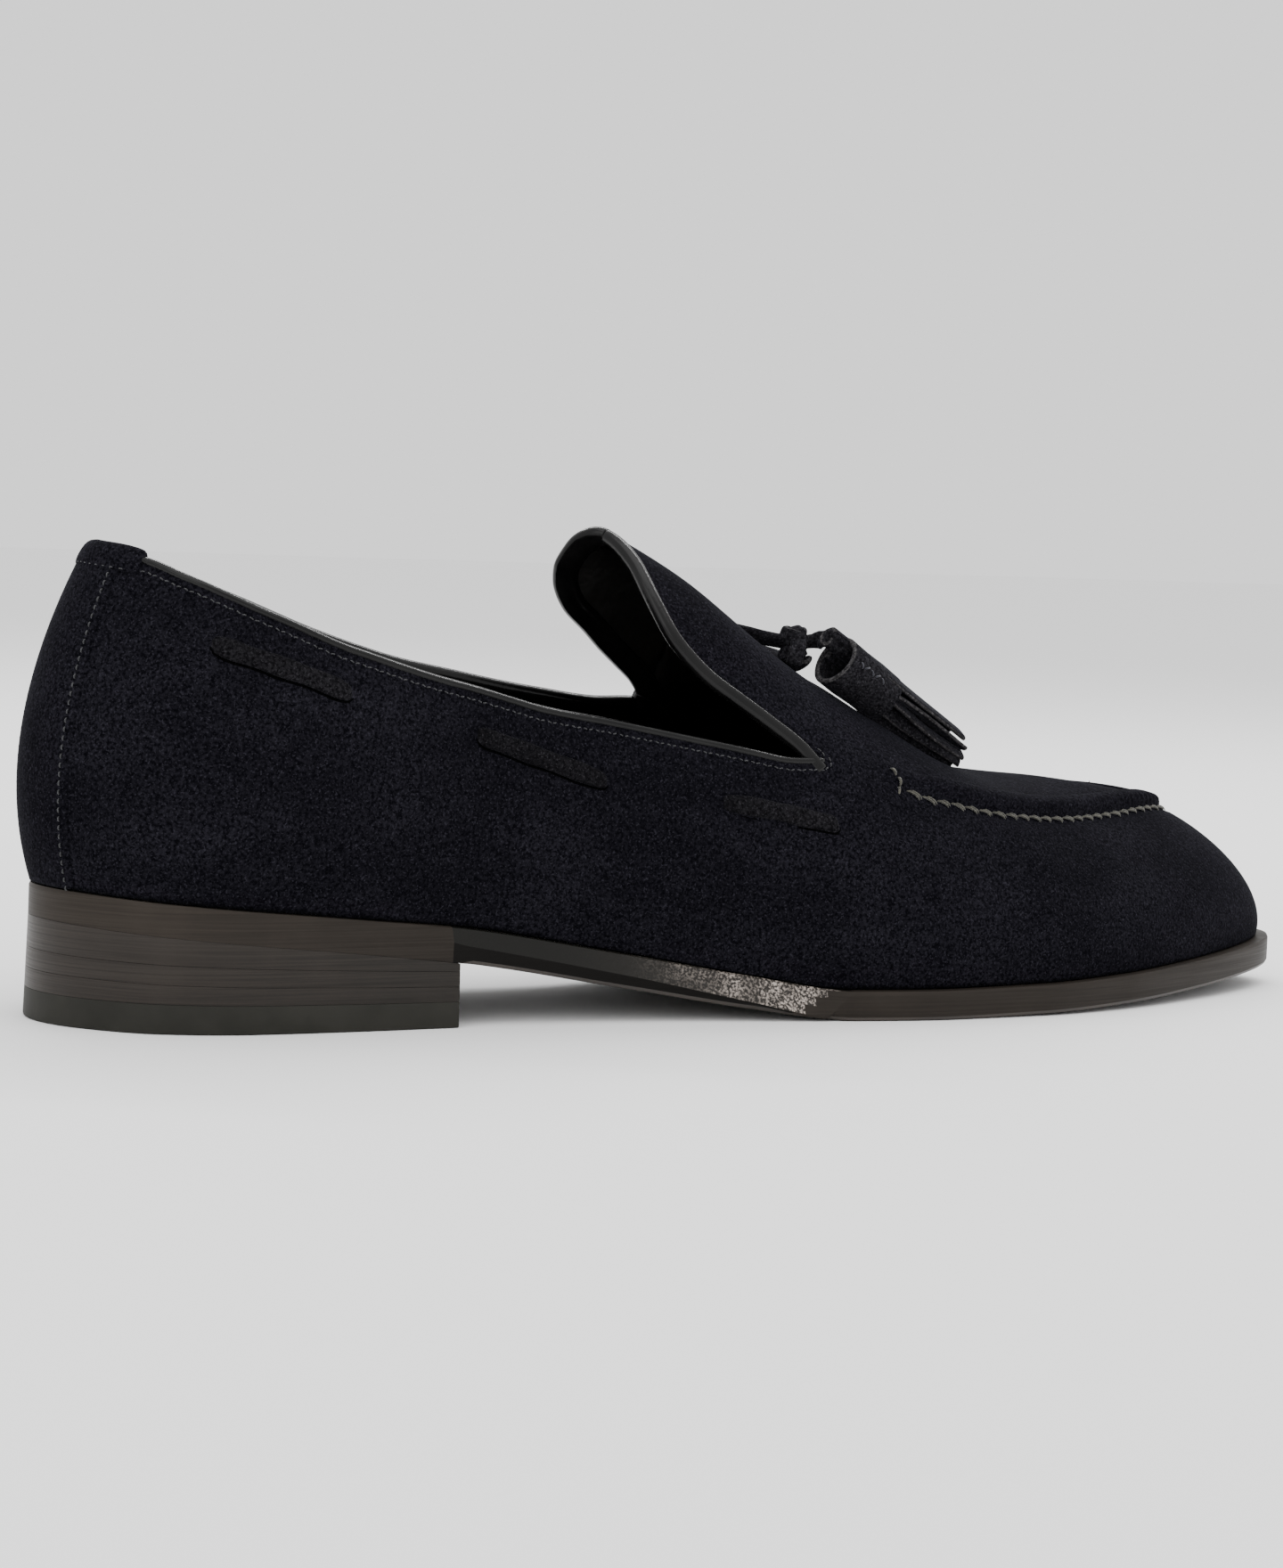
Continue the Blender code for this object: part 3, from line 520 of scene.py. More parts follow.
class Surface:
    """A material, with its coordinates and the steps that its patterns are made of."""

    def __init__(self, name, **sockets):
        self.made = bpy.data.materials.new(name)
        self.made.use_nodes = True
        self.tree = self.made.node_tree
        self.shader = self.tree.nodes["Principled BSDF"]
        self.set(**sockets)
        self.where = (self.node("TexCoord"), "Object")

    def set(self, **sockets):
        for name, value in sockets.items():
            self.link(value, self.shader.inputs[name.replace("_", " ")])

    def link(self, value, socket):
        if isinstance(value, tuple) and isinstance(value[0], bpy.types.Node):
            self.tree.links.new(value[0].outputs[value[1]], socket)
        else:
            socket.default_value = value

    def node(self, kind, inputs=None, **attributes):
        made = self.tree.nodes.new("ShaderNode" + kind)
        for name, value in attributes.items():
            setattr(made, name, value)
        for name, value in (inputs or {}).items():
            self.link(value, made.inputs[name])
        return made

    def noise(self, scale, detail=2.0, rough=0.5, stretch=None):
        where = self.where
        if stretch:
            where = (self.node("Mapping", {"Vector": where, "Scale": stretch}), "Vector")
        inputs = {"Vector": where, "Scale": scale, "Detail": detail, "Roughness": rough}
        return (self.node("TexNoise", inputs), "Fac")

    def pebbles(self, grain, fine, share):
        """The height of a pebbled grain, with a share of finer noise over it."""
        cells = self.node("TexVoronoi", {"Vector": self.where, "Scale": grain}, feature="SMOOTH_F1")
        return self.maths("ADD", (cells, "Distance"), self.times(self.noise(fine), share))

    def fit(self, value, low, high, to_low=0.0, to_high=1.0):
        ranges = {"Value": value, "From Min": low, "From Max": high, "To Min": to_low, "To Max": to_high}
        return (self.node("MapRange", ranges, interpolation_type="SMOOTHSTEP"), "Result")

    def blend(self, share, first, second):
        made = self.node("Mix", data_type="RGBA")
        self.link(share, made.inputs[0])
        for value, socket in ((first, 6), (second, 7)):
            self.link((*value, 1.0) if len(value) == 3 else value, made.inputs[socket])
        return (made, 2)

    def maths(self, operation, first, second):
        made = self.node("Math", operation=operation)
        self.link(first, made.inputs[0])
        self.link(second, made.inputs[1])
        return (made, 0)

    def times(self, first, second):
        return self.maths("MULTIPLY", first, second)

    def bump(self, height, distance, strength, under=None):
        inputs = {"Height": height, "Distance": distance, "Strength": strength}
        if under:
            inputs["Normal"] = under
        made = (self.node("Bump", inputs), "Normal")
        self.set(Normal=made)
        return made

    def mottle(self, pattern, dark, light):
        """The base colour, from dark to light as the pattern rises."""
        self.set(Base_Color=self.blend(self.fit(pattern, 0.3, 0.7), dark, light))


def suede(name, dark, light, sheen):
    s = Surface(name, Roughness=0.95, Specular_IOR_Level=0.02)
    s.set(Sheen_Weight=sheen, Sheen_Roughness=0.32, Sheen_Tint=(0.62, 0.64, 0.78, 1.0))
    nap = s.noise(1500.0, 3.0, 0.65)
    patches = s.noise(30.0, 4.0, 0.6, (1.0, 1.0, 1.7))
    specks = s.fit(s.noise(2300.0, 1.0, 0.5), 0.58, 0.72)
    share = s.times(s.fit(nap, 0.34, 0.70), s.fit(patches, 0.30, 0.70, 0.40, 1.0))
    bright = tuple(2.6 * c + 0.003 for c in light)
    s.set(Base_Color=s.blend(s.times(specks, 0.36), s.blend(share, dark, light), bright))
    s.bump(nap, 0.00022, 0.7, s.bump(s.noise(480.0, 2.0, 0.6), 0.00030, 0.5))
    return s.made


def leather(name, dark, light, roughness, grain, depth, shine=0.5):
    s = Surface(name, Specular_IOR_Level=shine)
    cloud = s.noise(60.0, 3.0)
    s.mottle(cloud, dark, light)
    s.set(Roughness=s.fit(cloud, 0.2, 0.8, roughness - 0.05, roughness + 0.07))
    s.bump(s.pebbles(grain, grain * 2.6, 0.5), depth, 0.6)
    return s.made


def lining_leather():
    s = Surface("lining_leather", Roughness=0.42, Specular_IOR_Level=0.22)
    s.mottle(s.noise(45.0, 3.0), (0.0020, 0.0018, 0.0016), (0.0070, 0.0064, 0.0057))
    s.bump(s.noise(420.0, 4.0, 0.6, (1.0, 1.0, 0.35)), 0.00060, 0.8)
    return s.made


def sole_leather(name, rear, front, lines, roughness, shine=0.2):
    """The stained and polished edge, with the fine lines that the trimming leaves along it."""
    s = Surface(name, Specular_IOR_Level=shine)
    along = (s.node("SeparateXYZ", {"Vector": s.where}), "X")
    fibres = s.noise(3.0, 3.0, 0.6, (9.0, 9.0, 900.0))
    colour = s.blend(s.fit(along, -0.045, 0.05), rear, front)
    colour = s.blend(s.fit(fibres, 0.25, 0.75, 0.0, lines), colour, (0.004, 0.0034, 0.003))
    blotch = s.fit(s.noise(70.0, 3.0), 0.45, 0.8, 0.0, 0.18)
    s.set(Base_Color=s.blend(blotch, colour, tuple(1.6 * c for c in rear)))
    s.set(Roughness=s.fit(fibres, 0.2, 0.8, roughness - 0.06, roughness + 0.10))
    s.bump(s.noise(900.0, 2.0), 0.00003, 0.5, s.bump(fibres, 0.00006, 0.5))
    return s.made


def waist_leather():
    """The bevelled waist: black and glossy, smooth at the heel, and towards the ball pebbled, with light
    specks of painted glints that are strong on the near side."""
    s = Surface("waist_leather", Specular_IOR_Level=0.16)
    split = s.node("SeparateXYZ", {"Vector": s.where})
    forward = s.fit((split, "X"), 0.055, 0.112)
    colour = s.blend(forward, (0.0080, 0.0077, 0.0066), (0.022, 0.0190, 0.0165))
    # Painted glints: light specks towards the ball, strong on the near side and faint on the far side, stand
    # in for light reflected off the pebbled bevel
    specks = s.fit(s.noise(1900.0, 2.0, 0.6), 0.42, 0.66)
    patches = s.fit(s.noise(160.0, 2.0, 0.5), 0.35, 0.65, 0.35, 1.0)
    near_side_glint_share = s.fit((split, "Y"), -0.012, 0.0, 0.72, 0.12)
    painted_glints = s.times(s.times(specks, patches), s.times(s.fit((split, "X"), 0.075, 0.112), near_side_glint_share))
    s.set(Base_Color=s.blend(painted_glints, colour, (0.62, 0.54, 0.48)))
    s.set(Roughness=s.fit(forward, 0.0, 1.0, 0.24, 0.36))
    s.bump(s.times(s.pebbles(900.0, 2200.0, 0.6), s.fit(forward, 0.0, 1.0, 0.15, 1.0)), 0.00030, 0.8)
    return s.made


def rubber():
    s = Surface("heel_rubber", Roughness=0.62, Specular_IOR_Level=0.2)
    s.mottle(s.noise(90.0, 3.0), (0.0145, 0.0141, 0.0112), (0.0212, 0.0204, 0.0164))
    s.bump(s.noise(1400.0, 2.0), 0.00004, 0.5)
    return s.made


def thread(name, dark, light):
    s = Surface(name, Roughness=0.75, Sheen_Weight=0.2)
    twist = s.noise(2600.0, 2.0)
    s.mottle(twist, dark, light)
    s.bump(twist, 0.00015, 0.8)
    return s.made


NAVY = suede("navy_suede", (0.0016, 0.0015, 0.0025), (0.0140, 0.0132, 0.0178), 0.025)
LACE = suede("lace_suede", (0.0026, 0.0024, 0.0030), (0.0170, 0.0162, 0.0185), 0.05)
CUT = suede("cut_suede", (0.0150, 0.0142, 0.0150), (0.070, 0.067, 0.069), 0.05)
# Near-black suede for the painted shadow strips under the side laces
SHADE = suede("lace_painted_shadow", (0.0004, 0.0004, 0.0005), (0.0012, 0.0011, 0.0014), 0.0)
TIE_SUEDE = suede("tie_suede", (0.0044, 0.0042, 0.0052), (0.0258, 0.0248, 0.0284), 0.05)
LINING = lining_leather()
INK_BLACK = ((0.0016, 0.0016, 0.0017), (0.0045, 0.0044, 0.0044))
BLACK = leather("binding_leather", *INK_BLACK, 0.20, 700.0, 0.00006, 0.22)
SOCK = leather("sock_leather", (0.006, 0.006, 0.006), (0.012, 0.0115, 0.011), 0.42, 520.0, 0.00012)
STACK = sole_leather("stacked_leather", (0.0285, 0.0228, 0.0188), (0.0215, 0.0180, 0.0148), 0.5, 0.42)
EDGE = sole_leather("sole_edge_leather", (0.0320, 0.0260, 0.0212), (0.0250, 0.0204, 0.0168), 0.35, 0.46, 0.10)
# The edge below the waist's bevel: brown-black like the blackened waist, and darker than the bevel as painted
# shade where it faces down to the floor
BROWN_BLACK = ((0.0060, 0.0052, 0.0044), (0.0050, 0.0044, 0.0038))
WAIST_LOW = sole_leather("waist_edge_leather", *BROWN_BLACK, 0.6, 0.42, 0.08)
UNDER = leather("sole_leather", (0.020, 0.015, 0.012), (0.034, 0.026, 0.020), 0.40, 260.0, 0.00010)
WAIST = waist_leather()
RUBBER = rubber()
OLIVE = thread("olive_thread", (0.014, 0.0135, 0.0095), (0.072, 0.068, 0.050))
GREY = thread("grey_thread", (0.006, 0.0063, 0.0075), (0.030, 0.031, 0.035))
INK = thread("navy_thread", (0.005, 0.005, 0.009), (0.026, 0.027, 0.042))


# Meshes


def weld(mesh, outwards=False):
    work = bmesh.new()
    work.from_mesh(mesh)
    bmesh.ops.remove_doubles(work, verts=work.verts, dist=MERGE)
    bmesh.ops.dissolve_degenerate(work, edges=work.edges, dist=MERGE / 10)
    if outwards:
        bmesh.ops.recalc_face_normals(work, faces=work.faces)
    work.to_mesh(mesh)
    work.free()


def sheet_mesh(name, grids, flips):
    """One surface from grids of points."""
    vertices, faces, start = [], [], 0
    for grid, flip in zip(grids, flips):
        index = start + np.arange(grid.shape[0] * grid.shape[1]).reshape(grid.shape[:2])
        quads = np.stack([index[:-1, :-1], index[1:, :-1], index[1:, 1:], index[:-1, 1:]], -1).reshape(-1, 4)
        faces.append(quads[:, ::-1] if flip else quads)
        vertices.append(place(grid).reshape(-1, 3))
        start += index.size
    mesh = bpy.data.meshes.new(name)
    mesh.from_pydata(np.concatenate(vertices).tolist(), [], np.concatenate(faces).tolist())
    weld(mesh)
    mesh.shade_smooth()
    return mesh


def loft(name, bodies, sharp=None, zone=None, edges=None):
    """Closed solids, each through a stack of rings with the same number of points. Edges names, for rings of
    so many points, the faces of the second material."""
    vertices, faces, zones = [], [], []
    for rings in bodies:
        rings = np.asarray(rings)
        start = sum(len(part) for part in vertices)
        sections, count = rings.shape[:2]
        vertices.append(place(rings).reshape(-1, 3))
        for i in range(sections - 1):
            for k in range(count):
                a, b = start + i * count + k, start + i * count + (k + 1) % count
                faces.append([a, b, b + count, a + count])
                second = int(k in edges.get(count, ())) if edges else 0
                zones.append(zone(rings[i, k], k) if zone else second)
        faces.append([start + k for k in range(count)][::-1])
        faces.append([start + (sections - 1) * count + k for k in range(count)])
        zones += [0, 0]
    mesh = bpy.data.meshes.new(name)
    mesh.from_pydata(np.concatenate(vertices).tolist(), [], faces)
    mesh.polygons.foreach_set("material_index", zones)
    weld(mesh, outwards=True)
    mesh.shade_smooth()
    if sharp:
        mesh.set_sharp_from_angle(angle=sharp)
    return mesh


def piece(name, mesh, materials, nodes=(), slot=None):
    """A visible piece on the part's body, with the nodes that it replaces. The slot is not used."""
    for material in materials:
        mesh.materials.append(material)
    made = bpy.data.objects.new(name, mesh)
    bpy.context.scene.collection.objects.link(made)
    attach(made, "root")
    if nodes:
        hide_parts(*nodes)
    slot or nodes[0]
    return made


def solid(name, bodies, materials, nodes=(), slot=None, **how):
    """A piece of closed solids."""
    return piece(name, loft(name, bodies, **how), materials, nodes, slot)


def sweep(points, first, second, outline):
    """Rings along a path: outline holds (first, second) pairs in metres."""
    outline = np.asarray(outline)
    return points[:, None] + first[:, None] * outline[None, :, :1] + second[:, None] * outline[None, :, 1:]


def seamline(side, angle, height, count, out=0.0):
    """Evenly spaced points on the upper along a line of it, with its directions there: along, out and up."""
    points = skin(side, angle, height, out)
    far = distances(points)
    at = np.linspace(0.0, far[-1], count)
    angles, heights = np.interp(at, far, angle), np.interp(at, far, height)
    points = skin(side, angles, heights, out)
    normal = outward(np.broadcast_to(side, angles.shape), angles, heights)
    along = unit(np.gradient(points, axis=0))
    up = np.cross(normal, along) * -side
    return points, along, normal, up, far[-1]


def stitch(middle, along, normal, length, radius, lift):
    """One stitch of thread: it comes up at one end, bows over and goes down at the other."""
    across = unit(np.cross(normal, along))
    rings = []
    for u in np.linspace(-1, 1, STITCH_RINGS):
        centre = middle + along * u * length / 2 + normal * (lift - (lift + STITCH_SINK) * abs(u) ** 3)
        wide = radius * (1 - 0.45 * u**4)
        angles = np.linspace(0, 2 * pi, STITCH_SIDES + 1)[:-1]
        rings.append([centre + wide * (cos(a) * across + sin(a) * normal) for a in angles])
    return rings


def stitch_row(kind, points, along, normal, length):
    """Stitches of one kind, over each point and along the direction there."""
    _, radius, bow = THREADS[kind]
    lengths = np.broadcast_to(length, len(points))
    return [stitch(*row, radius, bow) for row in zip(points, along, normal, lengths)]


# The upper


def relief(side, angle, height):
    """Small forms of the suede: the gathers along the apron's seam and the soft dents that a new shoe has."""
    gathers = np.cos(station_at(angle) * SOLE_LENGTH / GATHER_PITCH * 2 * pi)
    near = np.exp(-(((across_seam(side, angle, height) - 0.25) / 0.22) ** 2)) * apron_row(angle, "strength")
    total = GATHER_HEIGHT * gathers * near
    for on, station, middle, wide, high, depth in DENTS:
        if on in (0, side):
            far = ((station_at(angle) - station) / wide) ** 2
            total = total - depth * np.exp(-far - ((height - middle) / high) ** 2)
    return total


# Soft dents and swells of the suede: the side, with 0 for both, then station, height, their two widths, and
# how deep in metres, with less than 0 for a swell
DENTS = [
    (0, 0.60, 0.62, 0.035, 0.10, 0.0005),
    (LATERAL, 0.43, 0.30, 0.090, 0.04, -0.0003),
    (MEDIAL, 0.45, 0.30, 0.090, 0.04, -0.0003),
    (LATERAL, 0.68, 0.30, 0.060, 0.08, 0.0004),
    (MEDIAL, 0.66, 0.32, 0.060, 0.08, 0.0004),
    (0, 0.672, 0.94, 0.036, 0.22, -0.0016),
    (0, 0.622, 1.00, 0.029, 0.16, -0.0021),
]


def fine_skin(side, angle, height):
    return skin(side, angle, height, relief(side, angle, np.asarray(height)))


def spread(row, count):
    """A row of numbers, repeated across a grid."""
    return np.repeat(row[:, None], count, 1)


def upper_grids(side):
    """The upper's outer face on one side: quarter, forepart wall, forepart top and tongue."""
    angles = quarter_angles(side)
    share = np.linspace(0, 1, WALL_ROWS + 1)
    rim = risen(collar_height(side, angles), 0.0)
    quarter = fine_skin(side, spread(angles, len(share)), rim[:, None] * share)
    notch, crest_notch = angles[-1], turn(CREST_OF_NOTCH)
    forward = np.linspace(0, 1, FRONT_COLUMNS + 1)
    low = notch + (pi - notch) * forward
    high = crest_notch + (pi - crest_notch) * forward
    seam = risen(seam_height(side, low), (low - notch) / 0.12)
    wall = fine_skin(side, spread(low, len(share)), seam[:, None] * share)

    even = np.linspace(0, 1, len(RIDGE_ROWS) + REST_ROWS)
    per = metres_up(side, low, apron_row(low, "height"))
    near = np.array(RIDGE_ROWS) * RIDGE_WIDTH / (per * (1 - seam))[:, None]
    near = near * np.minimum(1.0, 0.85 / near[:, -1:])
    rest = near[:, -1:] + (1 - near[:, -1:]) * np.linspace(0, 1, REST_ROWS + 1)[1:]
    strength = apron_row(low, "strength")[:, None]
    up = strength * np.concatenate([near, rest], axis=1) + (1 - strength) * even
    angle = low[:, None] + (high - low)[:, None] * up
    top = fine_skin(side, angle, seam[:, None] + (1 - seam)[:, None] * up)

    climb = np.linspace(0, 1, TONGUE_COLUMNS + 1)
    rim_angle, rim_height = tongue_rim(side, climb)
    rim_height = risen(rim_height, climb / 0.10)
    crest = crest_notch + (turn(TONGUE[side]["station"][-1]) - crest_notch) * climb
    angle = rim_angle[:, None] + (crest - rim_angle)[:, None] * up[0]
    tongue = fine_skin(side, angle, rim_height[:, None] + (1 - rim_height)[:, None] * up[0])
    return [quarter, wall, top, tongue]


def build_upper():
    grids, flips = [], []
    for side in SIDES.values():
        grids += upper_grids(side)
        flips += [side == MEDIAL] * 3 + [side == LATERAL]
    upper = piece("upper_suede", sheet_mesh("upper_suede", grids, flips), [NAVY, LINING], ["upper"])
    wall = upper.modifiers.new("wall", "SOLIDIFY")
    wall.thickness = UPPER_WALL
    wall.offset = -1.0
    wall.material_offset = 1
    wall.material_offset_rim = 0


# A bead over the wall's edge, in millimetres: along the wall past the rim, then out from the wall's face
COLLAR_BEAD = table(
    "past out",
    [(0.75, -0.10), (0.90, 0.28), (1.25, 0.50), (1.75, 0.42), (2.25, 0.0), (2.5, -0.8), (2.4, -1.7),
     (1.8, -2.3), (1.0, -2.5), (-1.2, -2.4), (-1.4, -2.1), (-0.2, -1.0)],
)
TONGUE_BEAD = table(
    "past out",
    [(-0.5, -0.10), (-0.35, 0.32), (0.1, 0.52), (0.9, 0.50), (1.8, 0.20), (2.3, -0.5), (2.35, -1.4),
     (1.6, -2.4), (-0.4, -2.75), (-2.6, -2.65), (-2.9, -2.2), (-1.0, -1.0)],
)
TAB_FOLD = table(
    "past out",
    [(-1.9, 0.60), (-1.7, 1.15), (-0.4, 1.40), (1.6, 1.35), (3.3, 0.95), (4.2, 0.0), (4.3, -1.1),
     (3.6, -2.2), (1.8, -2.9), (-4.0, -2.9), (-8.5, -2.8), (-9.0, -2.3), (-8.0, -1.8), (-1.0, -1.0)],
)


def outline_of(bead):
    return np.array(list(zip(bead["past"], bead["out"]))) * MM


def build_bindings():
    for name, side in SIDES.items():
        angle = np.linspace(turn(TAB_STATION * 0.7), turn(COLLAR[side]["station"][-1]), 260)
        points, _, normal, up, _ = seamline(side, angle, collar_height(side, angle), COLLAR_BINDING_RINGS)
        body = sweep(points, up, normal, outline_of(COLLAR_BEAD))
        node_name = f"collar_binding_{name}"
        solid(node_name + "_leather", [body], [BLACK], [node_name])

    halves = []
    for side in (LATERAL, MEDIAL):
        angle, height = tongue_rim(side, np.linspace(0.0, 1.0, 200))
        points, _, normal, up, _ = seamline(side, angle, height, TONGUE_BINDING_RINGS)
        halves.append(sweep(points, up, normal, outline_of(TONGUE_BEAD)))
    body = np.concatenate([halves[0][:-1], halves[1][::-1]])
    solid("tongue_binding_leather", [body], [BLACK], ["tongue_binding"])

    reach = float(turn(TAB_STATION))
    around = np.linspace(-reach, reach, 41)
    side, angle = fold(np.full(len(around), LATERAL), around)
    rim = rim_at(side, angle)
    points = skin(side, angle, rim)
    normal = outward(side, angle, rim)
    up = unit(last(side, angle, rim + STEP) - last(side, angle, rim - STEP))
    body = sweep(points, up, normal, outline_of(TAB_FOLD))
    ends = np.minimum(1.0, np.sqrt(np.clip(1.02 - np.abs(around / reach) ** 6, 0.03, 1)))[:, None, None]
    middle = points[:, None] - normal[:, None] * UPPER_WALL / 2
    body = middle + (body - middle) * (0.72 + 0.28 * ends)
    smooth(solid("heel_tab_suede", [body], [NAVY], ["heel_tab"]))


def smooth(made):
    shape = made.modifiers.new("smooth", "SUBSURF")
    shape.levels = 1
    shape.render_levels = 1


def build_backstay():
    around = np.linspace(-1, 1, BACKSTAY_COLUMNS) * BACKSTAY_EDGE
    side, angle = fold(np.full(len(around), LATERAL), around)
    rim = rim_at(side, angle)
    share = np.linspace(0.004, 0.985, BACKSTAY_ROWS)
    edge = np.sqrt(np.clip(1 - np.abs(around / BACKSTAY_EDGE) ** 14, 0, 1))
    out = (GAP + BACKSTAY_THICKNESS) * spread(edge, len(share)) - GAP
    grid = skin(spread(side, len(share)), spread(angle, len(share)), rim[:, None] * share, out)
    strip = piece("backstay_suede", sheet_mesh("backstay_suede", [grid], [False]), [NAVY], ["backstay"])
    shell = strip.modifiers.new("wall", "SOLIDIFY")
    shell.thickness = 0.0006
    shell.offset = -1.0

    stitches = []
    for side in SIDES.values():
        height = np.linspace(0.005, 0.98, 60) * collar_height(side, BACKSTAY_EDGE)
        angle = np.full(len(height), BACKSTAY_EDGE * 0.86)
        count = THREADS["backstay"][0]
        points, along, normal, _, far = seamline(side, angle, height, count, BACKSTAY_THICKNESS)
        stitches += stitch_row("backstay", points, along, normal, far / count * 0.74)
    solid("backstay_stitches", stitches, [GREY], slot="backstay")


# Across a lace: shares of half its width, with its height as a share of LACE_THICKNESS. Across the near-black
# strip below it, which is painted shadow under the lace: shares of the same half width, with the height in
# metres
LACE_PROFILE = [(-1.0, -0.25), (-0.96, 0.35), (-0.80, 0.85), (-0.35, 1.0)]
LACE_PROFILE += [(0.2, 1.02), (0.75, 0.90), (0.95, 0.42), (1.0, -0.25)]
SHADOW_STRIP_PROFILE = [(-0.90, -0.0003), (-0.90, 0.00012), (-1.20, 0.00010), (-1.26, -0.0003)]


def build_side_laces():
    """The raised strands between their slit cuts in the quarter: soft, flat strips that go down into the
    quarter at their ends. Under each lies a near-black strip of painted shadow.
    """
    shadow_strips = []
    for name, side in SIDES.items():
        for k in range(len(SIDE_LACES["start"])):
            start, end = turn(SIDE_LACES["start"][k]), turn(SIDE_LACES["end"][k])
            along = np.linspace(0, 1, 41)
            angle = start + (end - start) * along
            middle = SIDE_LACES["start_height"][k]
            middle = middle + (SIDE_LACES["end_height"][k] - middle) * along
            rows = np.full(len(along), side)
            per = metres_up(rows, angle, middle)
            taper = np.clip(1 - np.abs(2 * along - 1) ** 10, 0, 1) ** 0.5
            wobble = 1 + 0.05 * np.sin(along * 17.0 + k * 2.1 + side)
            half = LACE_WIDTH / 2 * (0.35 + 0.65 * taper) * wobble
            ring = []
            for share, out in LACE_PROFILE:
                lift = LACE_THICKNESS * out * (0.25 + 0.75 * taper) - 0.0006 * (1 - taper)
                ring.append(skin(side, angle, middle + half / per * share, lift))
            for share in (0.6, -0.6):
                ring.append(skin(side, angle, middle + half / per * share, -0.0007))
            node_name = f"side_lace_{name}_{k + 1}"
            smooth(solid(node_name + "_suede", [np.stack(ring, 1)], [LACE], [node_name]))
            # A thin near-black strip just under the lace's lower edge: painted shadow
            lines = [skin(side, angle, middle + half / per * share, lift) for share, lift in SHADOW_STRIP_PROFILE]
            shadow_strips.append(np.stack(lines, 1))
    solid("lace_painted_shadows", shadow_strips, [SHADE], slot="upper")


def build_stitches():
    """The small stitches under the collar's binding, and the thick ones along the apron."""
    fine = []
    for side in SIDES.values():
        station, rim = COLLAR[side]["station"][-1], COLLAR[side]["height"][-1]
        angle = np.linspace(turn(TAB_STATION), turn(station - 0.003), 200)
        height = collar_height(side, angle) - 0.004
        angle = np.append(angle, turn(station + np.array([0.0035, 0.0060, 0.0045, 0.0])))
        height = np.append(height, rim + np.array([0.003, 0.014, 0.026, 0.034]))
        count = THREADS["collar"][0]
        points, along, normal, up, far = seamline(side, angle, height, count)
        low, half = points - up * 0.0002, along * far / count * 0.22
        for middle, lean in ((low - half, -up), (low + half, up)):
            fine += stitch_row("collar", middle, unit(along + lean * 0.28), normal, far / count * 0.46)
    reach = 0.78 * float(turn(TAB_STATION))
    count = THREADS["tab"][0]
    side, angle = fold(np.full(count, LATERAL), np.linspace(-reach, reach, count))
    rim = rim_at(side, angle) - 0.011
    points, normal = skin(side, angle, rim, 0.0009), outward(side, angle, rim)
    fine += stitch_row("tab", points, unit(np.gradient(points, axis=0)), normal, 0.0016)
    solid("collar_stitches", fine, [GREY], slot="upper")

    thick = []
    for side in SIDES.values():
        angle = np.linspace(turn(0.618), pi - 0.01, 200)
        height = apron_row(angle, "height")
        count = THREADS["apron"][0]
        points, along, normal, up, far = seamline(side, angle, height, count)
        lean = along * cos(0.36) - up * sin(0.36)
        middle = points - up * 0.0002 + normal * 0.0001
        size = far / count * 1.02 * (1 + 0.10 * np.sin(2.3 * np.arange(count)))
        for shift in (-0.00021, 0.00021):
            thick += stitch_row("apron", middle + (up + along * 1.6) * shift, lean, normal, size)
    solid("apron_stitches", thick, [OLIVE], slot="upper")

    curl = []
    for side in SIDES.values():
        height = np.linspace(0.452, 0.500, 20)
        angle = turn(0.602) + 0.006 * np.sin((height - 0.452) * 60)
        points, along, normal, _, far = seamline(side, angle, height, THREADS["curl"][0])
        curl += stitch_row("curl", points, along, normal, far * 0.46)
    solid("apron_curls", curl, [OLIVE], slot="upper")


# The sole and heel

# How far forward the bevel's own leather runs, at its foot and at its top
WAIST_END = (0.1500, 0.1600)


def plate(angles, profile):
    """Rings across the plan, one for each angle. Each row of the profile is an inset and a height."""
    sides = {}
    for side in (LATERAL, MEDIAL):
        lines = []
        for inset, height in profile:
            x, y, _, _ = inward(np.full(len(angles), side), angles, inset(station_at(angles) * SOLE_LENGTH))
            lines.append(np.stack([x, y, height(x)], -1))
        sides[side] = lines
    return np.stack(sides[LATERAL] + sides[MEDIAL][::-1], 1)


